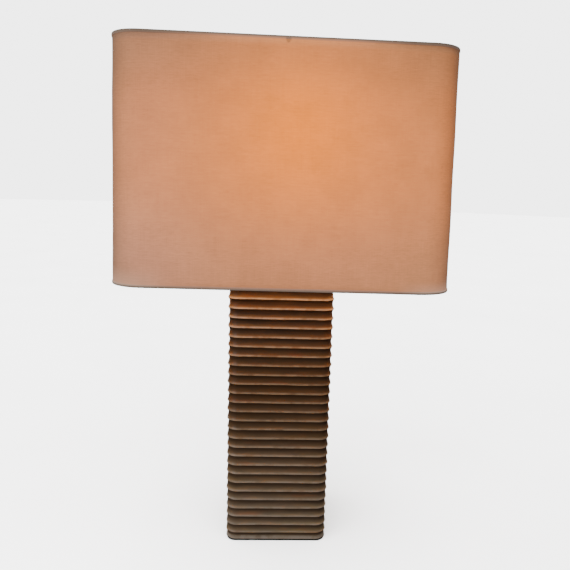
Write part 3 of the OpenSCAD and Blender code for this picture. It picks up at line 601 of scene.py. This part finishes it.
def paint_lining():
    """White styrene sheet: a matt film with a fine cast, glowing with the light inside it."""
    p = Paint("styrene_lining")
    film = p.noise(38, 3, 0.5)
    cast = p.noise(900, 3, 0.6)
    tone = p.mix(p.ramp(film, 0.35, 0.7), (0.80, 0.74, 0.66), (0.74, 0.67, 0.58))
    far = p.vector("LENGTH", p.vector("SUBTRACT", p.place, (0, 0, 0.575)), out=1)
    glow = p.mix(p.ramp(far, 0.12, 0.30), (1.0, 0.56, 0.25), (0.62, 0.31, 0.13))
    return p.finish(Base_Color=tone, Roughness=p.ramp(cast, 0.3, 0.7, 0.45, 0.6),
                    Normal=p.bump(cast, 0.00005, 0.5), Emission_Color=glow, Emission_Strength=2.8)


def paint_bulb_glass(colours):
    """Glass frosted inside and lit: brightest round the filament, darker in the neck."""
    p = Paint("frosted_glass")
    far = p.vector("LENGTH", p.vector("SUBTRACT", p.place, (0, 0, 0.574)), out=1)
    near = p.ramp(far, 0.026, 0.055, 1.0, 0.25)
    frost = p.noise(1500, 3, 0.6)
    glow = p.mix(near, (0.9, 0.36, 0.10), colours.lamplight)
    p.set(p.shader.inputs["Emission Strength"], p.times(near, p.ramp(frost, 0.2, 0.8, 24.0, 28.0)))
    return p.finish(Base_Color=(0.85, 0.82, 0.78), Roughness=p.ramp(frost, 0.3, 0.7, 0.25, 0.4),
                    Normal=p.bump(frost, 0.00004, 0.5), Emission_Color=glow)


def paint_clear_glass():
    """Clear glass of the bulb's stem, with drawn lines."""
    p = Paint("clear_glass")
    drawn = p.noise(400, 3, 0.6, stretch=(1, 1, 0.1))
    tint = p.mix(p.ramp(drawn, 0.3, 0.7), (0.92, 0.96, 0.94), (0.80, 0.88, 0.85))
    return p.finish(Base_Color=tint, Roughness=p.ramp(drawn, 0.3, 0.7, 0.02, 0.08),
                    Transmission_Weight=0.9, IOR=1.5, Normal=p.bump(drawn, 0.00005, 0.5))


def paint_filament():
    """Coiled tungsten, glowing."""
    p = Paint("tungsten")
    coil = p.noise(2500, 2, 0.5)
    glow = p.mix(p.ramp(coil, 0.3, 0.7), (1.0, 0.50, 0.14), (1.0, 0.72, 0.32))
    return p.finish(Base_Color=(0.3, 0.28, 0.26), Metallic=1.0, Roughness=p.ramp(coil, 0.3, 0.7, 0.4, 0.6),
                    Emission_Color=glow, Emission_Strength=60.0)


def paint_card():
    """Waxed card of the socket's liner."""
    p = Paint("liner_card")
    fibre = p.noise(1200, 4, 0.7, stretch=(1, 1, 0.3))
    tone = p.mix(p.ramp(fibre, 0.3, 0.7), (0.50, 0.38, 0.22), (0.36, 0.26, 0.14))
    return p.finish(Base_Color=tone, Roughness=p.ramp(fibre, 0.3, 0.7, 0.55, 0.75),
                    Normal=p.bump(fibre, 0.0001, 0.5))


def paint_floor():
    """Plain pale studio floor, matt, with the faintest mottle."""
    p = Paint("studio_floor")
    mottle = p.noise(3, 3, 0.5)
    tone = p.mix(p.ramp(mottle, 0.3, 0.7), (0.93, 0.93, 0.93), (0.90, 0.90, 0.90))
    return p.finish(Base_Color=tone, Roughness=p.ramp(mottle, 0.3, 0.7, 0.85, 0.95), Specular_IOR_Level=0.05)


def light_studio(tree):
    """A white studio: soft light that comes mostly from above, and a white ground behind the lamp."""
    n = Nodes(tree)
    rise = n.parts(n.node("ShaderNodeTexCoord").outputs["Generated"])[2]
    level = n.times(n.ramp(rise, -0.05, 0.9, SKY_SIDE, SKY_TOP, smooth=False),
                    n.ramp(rise, -0.5, 0.05, SKY_UNDER / SKY_SIDE, 1.0, smooth=False))
    seen = n.node("ShaderNodeLightPath").outputs["Is Camera Ray"]
    level = n.fill(n.node("ShaderNodeMix"), {0: seen, 2: level, 3: BACKDROP_WHITE})
    sky = n.fill(n.node("ShaderNodeBackground"), {"Strength": level})
    n.set(n.node("ShaderNodeOutputWorld").inputs[0], sky)


def finish_nodes(material, *names):
    """Gives carried-over nodes their material."""
    for name in names:
        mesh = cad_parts[name].data
        mesh.materials.clear()
        mesh.materials.append(material)


# Geometry of the pieces

def rib_profile(corner, pitch, depth):
    """One rib from its ridge down. Each point has its distance out, its drop from the ridge, its share of
    the way to the next ridge, how dark it is painted (pooled glaze and painted shade under the ridge)
    and how pale (thin glaze and painted highlight over it).

    Under the ridge the wall is scooped in, then it flares out again to the next lip."""
    upper, under = math.radians(28), math.radians(42)
    scoop, scoop_steps, flare_steps, flare_power = 0.36 * pitch, 6, 9, 2.9
    pool_end, lip_start = 0.68, 0.66
    points = []
    for angle, pool_shade, lip in ((upper, 0.0, 1.0), (math.radians(5), 0.0, 1.0), (math.radians(-18), 0.7, 0.2),
                             (-under, 0.7, 0.2)):
        points.append((corner - NOSE + NOSE * math.cos(angle), -NOSE * math.sin(angle), 0.0, pool_shade, lip))
    start_in, start_drop = NOSE * (1 - math.cos(under)), NOSE * math.sin(under)
    for k in range(1, scoop_steps + 1):
        t = k / scoop_steps
        drop = start_drop + (scoop - start_drop) * t
        hollow = start_in + (depth - start_in) * (2 * t - t * t)
        points.append((corner - hollow, drop, drop / pitch, 1.0 - 0.12 * t, 0.0))
    flare = pitch - scoop - NOSE * math.sin(upper)
    lip_in = NOSE * (1 - math.cos(upper))
    for k in range(1, flare_steps):
        t = k / flare_steps
        drop = scoop + flare * t
        points.append((corner - depth + (depth - lip_in) * t ** flare_power, drop, drop / pitch,
                       0.88 * max(0.0, 1 - t / pool_end), max(0.0, (t - lip_start) / (1 - lip_start))))
    return points


def column_mesh(sizes):
    """The ribbed wall outside, the closed top with its hole, and the rebate and ledge in the foot."""
    corner = sizes.column_corner
    axis = COLUMN_HIGH.x - corner
    feet, normals, along = path_round(axis, axis, corner, 3.0 * MM)
    length, along = along[-1], along[:-1]
    count = len(feet)
    rng = np.random.default_rng(41)
    low, top = COLUMN_LOW.z, COLUMN_HIGH.z
    ridges = round((top - low - sizes.foot_rib) / sizes.rib_pitch)
    first = low + sizes.foot_rib

    # How far each ridge strays up and out all the way round, from the foot's edge to the top's
    rise = np.zeros((ridges + 2, count))
    swell = np.zeros((ridges + 2, count))
    for k in range(1, ridges + 1):
        rise[k] = wave_round(rng, along, length, sizes.ridge_wave) + rng.normal() * 0.16 * MM
        rise[k] += sizes.low_stray * math.exp((1 - k) / 1.4)
        swell[k] = wave_round(rng, along, length, 0.20 * MM) + rng.normal() * 0.08 * MM
    swell[ridges + 1] = wave_round(rng, along, length, 0.12 * MM)

    # Round the cord's outlet the ridges run true
    at_back = normals[:, 1] > 0.5
    for k in range(ridges + 2):
        z = first + (k - 1) * sizes.rib_pitch
        calm = np.exp(-(feet[:, 0] / 0.018) ** 2 - ((z - OUTLET_Z) / 0.02) ** 2) * at_back
        rise[k] *= 1 - calm
        swell[k] *= 1 - calm

    rings, pool_shade, lip = [], [], []

    def add(out, z, pooled=0.0, lipped=0.0):
        rings.append(ring_at(feet, normals, out, z))
        pool_shade.append(np.full(count, pooled))
        lip.append(np.full(count, lipped))

    for k in range(ridges + 1, 0, -1):
        pitch = sizes.rib_pitch if k > 1 else sizes.foot_rib
        z = first + (k - 1) * sizes.rib_pitch
        for out, drop, share, pooled, lipped in rib_profile(corner, pitch, sizes.rib_depth):
            shift = rise[k] * (1 - share) + rise[k - 1] * share
            bulge = swell[k] * (1 - share) + swell[k - 1] * share
            if k == ridges + 1 and drop <= 0:
                drop = 0
            # The foot's rib gets the same pale of thin glaze and painted highlight over its lower half
            if k == 1:  # The foot's rib is thinly glazed over its lower half
                lipped = min(max((share - 0.38) / 0.2, 0.0), 1.0)
            add(out + bulge, np.minimum(z - drop + shift, top), pooled, lipped)
    # The foot's rounded lower edge is painted darker, painted shadow under the foot
    for set_in, above, pooled in ((0.25, 0.9, 0.2), (0.9, 0.2, 0.5), (1.6, 0.0, 0.5)):
        add(corner - set_in * MM, low + above * MM, pooled)
    inner, rebate, ledge = corner - WALL, corner - REBATE, corner - WALL - LEDGE_WIDE
    ledge_low, ledge_high = low + LEDGE_LOW, low + LEDGE_HIGH
    # The rebate, ledge, inner wall and top hole are painted a little darker, painted shade inside the column
    for out, z in ((rebate, low), (rebate, ledge_low), (ledge, ledge_low), (ledge, ledge_high),
                   (inner, ledge_high), (inner, top - WALL)):
        add(out, z, 0.3)
    outer = rings[0][:, :2]
    angle = np.arctan2(outer[:, 1], outer[:, 0])
    for z in (top - WALL, top):
        rings.append(np.column_stack([TOP_HOLE * np.cos(angle), TOP_HOLE * np.sin(angle), np.full(count, z)]))
        pool_shade.append(np.full(count, 0.3))
        lip.append(np.zeros(count))
    add(corner - 1.3 * MM, top, 0.0, 0.1)
    faces = ring_faces(len(rings), count, closed_profile=True)
    return np.concatenate(rings), faces, np.concatenate(pool_shade), np.concatenate(lip)


def shade_out(sizes, z):
    """Distance of the cloth's outer face from a corner's axis at a height."""
    low, high = BOTTOM_HEM_LOW.z, TOP_HEM_HIGH.z
    return sizes.shade_corner - sizes.shade_lean * (z - low) / (high - low)


def shade_axes(sizes):
    """Half distances between the shade's corner axes."""
    at_low = shade_out(sizes, CLOTH_LOW.z)
    return CLOTH_HIGH.x - at_low, CLOTH_HIGH.y - at_low


def cloth_mesh(sizes):
    """One strip of cloth round the lining, its end lapped over its start at the back."""
    axis_x, axis_y = shade_axes(sizes)
    feet, normals, along = path_round(axis_x, axis_y, sizes.shade_corner, 3.2 * MM)
    length = along[-1]
    over = int(np.searchsorted(along, LAP)) + 1
    feet = np.concatenate([feet, feet[:over]])
    normals = np.concatenate([normals, normals[:over]])
    along = np.concatenate([along[:-1], along[:over] + length])
    count = len(feet)
    low, high = CLOTH_LOW.z, CLOTH_HIGH.z
    levels = np.linspace(low, high, 64)
    lift = smooth_step((along - (length - LAP_RISE)) / LAP_RISE) * (sizes.cloth_thickness + LAP_GAP)
    rng = np.random.default_rng(7)
    ripples = [(rng.uniform(0.05, 0.11) * MM, rng.integers(2, 16), rng.uniform(0.5, 3), rng.uniform(0, 6.28))
               for _ in range(10)]
    deepest = 0.25 * MM
    outer, inner = [], []
    for z in levels:
        share = (z - low) / (high - low)
        ripple = sum(size * np.sin(2 * math.pi * turns * along / length + start + waves * share * 6)
                     for size, turns, waves, start in ripples)
        fade = min(z - low, high - z) / (12 * MM)
        ripple = np.clip(ripple, -deepest, deepest) * min(max(fade, 0), 1)
        out = shade_out(sizes, z) + lift
        outer.append(ring_at(feet, normals, out + ripple, z))
        inner.append(ring_at(feet, normals, out - sizes.cloth_thickness, z))
    rows = len(levels)
    inside, top = rows * count, (rows - 1) * count
    faces = ring_faces(rows, count, closed_path=False)
    faces += [tuple(v + inside for v in reversed(f)) for f in faces]
    for i in range(count - 1):
        faces.append((i, inside + i, inside + i + 1, i + 1))
        faces.append((top + i, top + i + 1, inside + top + i + 1, inside + top + i))
    for j in range(rows - 1):
        a, b = j * count, (j + 1) * count
        faces.append((a, b, inside + b, inside + a))
        faces.append((a + count - 1, inside + a + count - 1, inside + b + count - 1, b + count - 1))

    # How squarely the cloth faces front or back; by it the glow is painted dimmer round the corners.
    #     The narrow sides have a soft rise of their own instead
    side_rise = 0.543 + 0.20 * smooth_step(1 - np.abs(feet[:, 1]) / axis_y)
    facing = np.where(np.abs(normals[:, 0]) > 0.999, side_rise, np.abs(normals[:, 1]))
    doubled = np.clip((along - length) / (1 * MM) + 1, 0, 1)
    marks = {name: np.tile(values, 2 * rows)
             for name, values in (("along", along), ("doubled", doubled), ("facing", facing))}
    marks["up"] = np.tile(np.repeat(levels - low, count), 2)
    return np.concatenate(outer + inner), faces, marks, length


def hem_mesh(sizes, edge_z, free_z, seed):
    """A tape rolled over the shade's edge, closed round it, a little uneven along its free edge."""
    sign = 1 if edge_z > free_z else -1
    height = abs(edge_z - free_z)
    axis_x, axis_y = shade_axes(sizes)
    feet, normals, along = path_round(axis_x, axis_y, sizes.shade_corner, 3.0 * MM)
    length, along = along[-1], along[:-1]
    rng = np.random.default_rng(seed)
    uneven = wave_round(rng, along, length, 0.12 * MM, 3, 40)
    swell = wave_round(rng, along, length, 0.05 * MM, 3, 24)
    face = shade_out(sizes, edge_z) + 0.05 * MM
    lean = sizes.shade_lean / (TOP_HEM_HIGH.z - BOTTOM_HEM_LOW.z)
    cloth, lining, gap, wire = 0.8 * MM, 1.0 * MM, 0.3 * MM, 3.2 * MM
    inner = shade_out(sizes, edge_z - sign * 2.35 * MM) - (cloth + lining + gap + wire)

    def slope(depth):
        return face + sign * lean * depth

    # The tape's outer face, from its free edge to the fold: how proud in mm, and how far from the fold
    outside = [(0.10, height), (0.42, height - 0.12 * MM), (0.66, height - 0.9 * MM),
               (0.74, height - 2.0 * MM), (0.70, 1.3 * MM), (0.52, 0.55 * MM), (0.16, 0.12 * MM), (-0.5, 0.0)]
    last = len(outside) - 1
    rings, folds = [], []
    for k, (proud, depth) in enumerate(outside):
        ragged = uneven if k < 2 else 0.0
        out = slope(depth) + proud * MM + (swell if 1 < k < last else 0)
        z = edge_z - sign * (depth + ragged)
        rings.append(ring_at(feet, normals, out, z))
        folds.append(np.full(len(feet), depth / height))

    # Over the wire, down behind it, and back up between the tape and the cloth
    for out, depth in ((inner + 0.5 * MM, 0.0), (inner - 0.25 * MM, 0.25 * MM), (inner - 0.6 * MM, 1.0 * MM),
                       (inner - 0.6 * MM, height), (inner, height), (inner, 0.6 * MM),
                       (slope(0.6 * MM), 0.6 * MM), (slope(height), height)):
        rings.append(ring_at(feet, normals, out, edge_z - sign * depth))
        folds.append(np.full(len(feet), depth / height))
    faces = ring_faces(len(rings), len(feet), closed_profile=True)
    return np.concatenate(rings), faces, {"along": np.tile(along, len(rings)), "fold": np.concatenate(folds)}


def felt_mesh():
    """The felt, its edge soft and a little frayed."""
    corner = 13 * MM
    axis = FELT_HIGH.x + FELT_WIDER - corner
    feet, normals, _ = path_round(axis, axis, corner, 1.2 * MM)
    rng = np.random.default_rng(19)
    rings = []
    for set_in, level, fray in ((9, 1.0, 0), (0.5, 1.0, 0), (0.15, 0.85, 0.08), (0.05, 0.5, 0.18),
                                (0.2, 0.15, 0.12), (0.7, 0.0, 0), (9, 0.0, 0)):
        out = corner - set_in * MM - np.abs(rng.normal(size=len(feet))) * fray * MM
        rings.append(ring_at(feet, normals, out, level * FELT_HIGH.z))
    count = len(feet)
    faces = ring_faces(len(rings), count)
    faces += [tuple(range(count)), tuple(range(len(rings) * count - 1, (len(rings) - 1) * count - 1, -1))]
    return np.concatenate(rings), faces


# Operators

class LAMP_OT_column(bpy.types.Operator):
    """Builds the ribbed, glazed column"""
    bl_idname = "lamp.column"
    bl_label = "Column"

    def execute(self, context):
        sizes, colours = context.scene.lamp_sizes, context.scene.lamp_colours
        verts, faces, pool_shade, lip = column_mesh(sizes)
        column = new_piece("column", verts, faces, paint_glaze(colours), "stand")
        mark_points(column, {"pool_shade": pool_shade, "lip": lip})
        cut_with(column, [rod_along_y(OUTLET_Z, OUTLET_HOLE, *OUTLET_CUT)])
        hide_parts("column_shell")
        return {"FINISHED"}


class LAMP_OT_foot(bpy.types.Operator):
    """Builds the felt and finishes the plate, nuts, pipe and bushes"""
    bl_idname = "lamp.foot"
    bl_label = "Foot"

    def execute(self, context):
        verts, faces = felt_mesh()
        felt = new_piece("felt", verts, faces, paint_felt(), "stand")
        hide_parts("felt_pad")
        black = paint_powder_coat("painted_steel", (0.022, 0.022, 0.022), (0.045, 0.04, 0.035))
        finish_nodes(black, "base_plate")
        plated = paint_metal("plated_steel", (0.62, 0.62, 0.60), (0.50, 0.49, 0.44), 0.34, 0.5)
        finish_nodes(plated, "base_washer", "base_nut", "socket_set_screw", "terminal_screws", "spider_hub",
                     "bulb_contact")
        raw = paint_metal("raw_brass", (0.66, 0.46, 0.18), (0.44, 0.28, 0.10), 0.30, 0.8)
        finish_nodes(raw, "lamp_pipe", "saddle_locknut", "screw_shell", "centre_contact", "switch_shaft")
        rubber = paint_moulding("rubber", (0.016, 0.016, 0.016), (0.032, 0.031, 0.030), 0.8, 1500)
        finish_nodes(rubber, "centring_bush")
        nylon = paint_moulding("black_nylon", (0.012, 0.012, 0.013), (0.028, 0.028, 0.028), 0.5, 2200)
        finish_nodes(nylon, "cord_bush", "cord_bush_nut")
        return {"FINISHED"}


class LAMP_OT_neck(bpy.types.Operator):
    """Finishes the cap, neck, harp and its sleeves"""
    bl_idname = "lamp.neck"
    bl_label = "Neck and harp"

    def execute(self, context):
        colour, worn = context.scene.lamp_colours.brass, (0.36, 0.21, 0.075)
        brass = paint_metal("lacquered_brass", colour, worn, 0.26, 0.6)
        finish_nodes(brass, "vase_cap", "neck_tube", "check_ring", "harp_saddle", "harp_wire",
                     "harp_top_stud", "harp_sleeve_left", "harp_sleeve_right", "socket_cap", "socket_shell",
                     "finial_washer", "finial")
        return {"FINISHED"}


class LAMP_OT_socket(bpy.types.Operator):
    """Finishes the socket's liner, body and switch key"""
    bl_idname = "lamp.socket"
    bl_label = "Socket"

    def execute(self, context):
        finish_nodes(paint_card(), "insulating_liner")
        phenolic = paint_moulding("phenolic", (0.020, 0.012, 0.009), (0.045, 0.024, 0.016), 0.28, 900)
        finish_nodes(phenolic, "socket_body", "switch_key")
        return {"FINISHED"}


class LAMP_OT_bulb(bpy.types.Operator):
    """Finishes the lit bulb"""
    bl_idname = "lamp.bulb"
    bl_label = "Bulb"

    def execute(self, context):
        finish_nodes(paint_bulb_glass(context.scene.lamp_colours), "bulb_glass")
        finish_nodes(paint_clear_glass(), "bulb_stem")
        finish_nodes(paint_filament(), "filament")
        aluminium = paint_metal("bulb_aluminium", (0.80, 0.80, 0.80), (0.62, 0.62, 0.61), 0.24, 0.8)
        finish_nodes(aluminium, "bulb_base")
        black = paint_moulding("black_glass", (0.010, 0.010, 0.013), (0.022, 0.022, 0.028), 0.12, 700)
        finish_nodes(black, "bulb_insulator")
        return {"FINISHED"}


class LAMP_OT_shade(bpy.types.Operator):
    """Builds the shade's cloth and hems, and finishes its lining, rings and arms"""
    bl_idname = "lamp.shade"
    bl_label = "Shade"

    def execute(self, context):
        sizes, colours = context.scene.lamp_sizes, context.scene.lamp_colours
        verts, faces, marks, length = cloth_mesh(sizes)
        cloth = new_piece("shade_cloth", verts, faces, paint_cloth(colours, sizes), "shade")
        mark_points(cloth, marks)
        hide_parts("shade_fabric")
        hem_paint = paint_hem(colours)
        hems = []
        for name, edge, free, seed in (
                ("top_hem_roll", TOP_HEM_HIGH.z, TOP_HEM_HIGH.z - sizes.hem_height, 3),
                ("bottom_hem_roll", BOTTOM_HEM_LOW.z, BOTTOM_HEM_LOW.z + sizes.hem_height, 4)):
            verts, faces, marks = hem_mesh(sizes, edge, free, seed)
            hem = new_piece(name, verts, faces, hem_paint, "shade")
            mark_points(hem, marks)
            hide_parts(name.replace("_roll", ""))
            hems.append(hem)

        # Each arm comes through a slot in the top hem's inner leg
        axis_x, axis_y = shade_axes(sizes)
        slot, floor_z, roof_z = 2.0 * MM, TOP_HEM_HIGH.z - 5.2 * MM, TOP_HEM_HIGH.z - 0.68 * MM
        near_x, far_x = axis_x + 25 * MM, axis_x + 35.5 * MM
        near_y, far_y = axis_y + 25 * MM, axis_y + 35.5 * MM
        cut_with(hems[0], [block((-far_x, -slot, floor_z), (-near_x, slot, roof_z)),
                           block((near_x, -slot, floor_z), (far_x, slot, roof_z)),
                           block((-slot, -far_y, floor_z), (slot, -near_y, roof_z)),
                           block((-slot, near_y, floor_z), (slot, far_y, roof_z))])
        finish_nodes(paint_lining(), "shade_lining")
        finish_nodes(paint_powder_coat("ring_wire", (0.78, 0.75, 0.68), (0.62, 0.58, 0.50)),
                     "top_ring", "bottom_ring", "spider_arms")
        return {"FINISHED"}


class LAMP_OT_stage(bpy.types.Operator):
    """Lays the floor, sets the lights and the camera"""
    bl_idname = "lamp.stage"
    bl_label = "Stage"

    def execute(self, context):
        scene = context.scene
        turns = [2 * math.pi * k / FLOOR_STEPS for k in range(FLOOR_STEPS)]
        verts = [(0, 0, FLOOR_Z)]
        verts += [(FLOOR_RADIUS * math.cos(a), FLOOR_RADIUS * math.sin(a), FLOOR_Z) for a in turns]
        mesh = bpy.data.meshes.new("floor")
        mesh.from_pydata(verts, [], [(0, 1 + k, 1 + (k + 1) % FLOOR_STEPS) for k in range(FLOOR_STEPS)])
        mesh.materials.append(paint_floor())
        floor = link_new("floor", mesh)
        floor.visible_diffuse = floor.visible_glossy = False

        world = scene.world or bpy.data.worlds.new("studio")
        scene.world = world
        world.use_nodes = True
        light_studio(world.node_tree)
        left = bpy.data.lights.new("soft_left", "AREA")
        left.shape, left.size, left.energy, left.color = "SQUARE", 0.8, 10.5, (0.92, 0.97, 1.06)
        left_lamp = link_new("soft_left", left)
        left_lamp.location = (-1.05, -1.05, 0.85)
        aim = Vector((0, 0, 0.4)) - left_lamp.location
        left_lamp.rotation_euler = aim.to_track_quat("-Z", "Y").to_euler()

        # A wide, high light that falls on the floor alone: the floor is pale and the lamp stays dim
        sun = bpy.data.lights.new("floor_light", "SUN")
        sun.energy, sun.angle = 17.5, math.radians(110)
        floor_lamp = link_new("floor_light", sun)
        floor_lamp.rotation_euler = (math.radians(18), math.radians(-14), 0)
        only_floor = bpy.data.collections.new("floor_only")
        only_floor.objects.link(floor)
        floor_lamp.light_linking.receiver_collection = only_floor

        lens = bpy.data.cameras.new("camera")
        camera = link_new("camera", lens)
        yaw, pitch, roll = map(math.radians, CAMERA_TURNS)
        camera.matrix_world = (Matrix.Translation(CAMERA_PLACE) @ Matrix.Rotation(-yaw, 4, "Z")
                               @ Matrix.Rotation(math.pi / 2 - pitch, 4, "X") @ Matrix.Rotation(roll, 4, "Z"))
        lens.sensor_width, lens.lens = SENSOR_WIDTH, FOCAL_PX * SENSOR_WIDTH / FRAME_PX
        lens.shift_x = (FRAME_PX / 2 - CENTRE_PX[0]) / FRAME_PX
        lens.shift_y = (CENTRE_PX[1] - FRAME_PX / 2) / FRAME_PX
        lens.clip_start, lens.clip_end = 0.01, 100
        scene.camera = camera
        return {"FINISHED"}


STEPS = (LAMP_OT_column, LAMP_OT_foot, LAMP_OT_neck, LAMP_OT_socket, LAMP_OT_bulb, LAMP_OT_shade,
         LAMP_OT_stage)


class LAMP_PT_panel(bpy.types.Panel):
    """The lamp's pieces, sizes and colours"""
    bl_idname = "LAMP_PT_panel"
    bl_label = "Ribbed Table Lamp"
    bl_space_type = "VIEW_3D"
    bl_region_type = "UI"
    bl_category = "Lamp"

    def draw(self, context):
        for step in STEPS:
            self.layout.operator(step.bl_idname)
        for group in (context.scene.lamp_sizes, context.scene.lamp_colours):
            for name in group.bl_rna.properties.keys():
                if name not in ("rna_type", "name"):
                    self.layout.prop(group, name)


CLASSES = (LampSizes, LampColours, *STEPS, LAMP_PT_panel)


def register():
    for cls in CLASSES:
        bpy.utils.register_class(cls)
    bpy.types.Scene.lamp_sizes = bpy.props.PointerProperty(type=LampSizes)
    bpy.types.Scene.lamp_colours = bpy.props.PointerProperty(type=LampColours)


def unregister():
    del bpy.types.Scene.lamp_colours
    del bpy.types.Scene.lamp_sizes
    for cls in reversed(CLASSES):
        bpy.utils.unregister_class(cls)


def main():
    register()
    bpy.ops.lamp.column()
    bpy.ops.lamp.foot()
    bpy.ops.lamp.neck()
    bpy.ops.lamp.socket()
    bpy.ops.lamp.bulb()
    bpy.ops.lamp.shade()
    bpy.ops.lamp.stage()


if __name__ == "__main__":
    main()
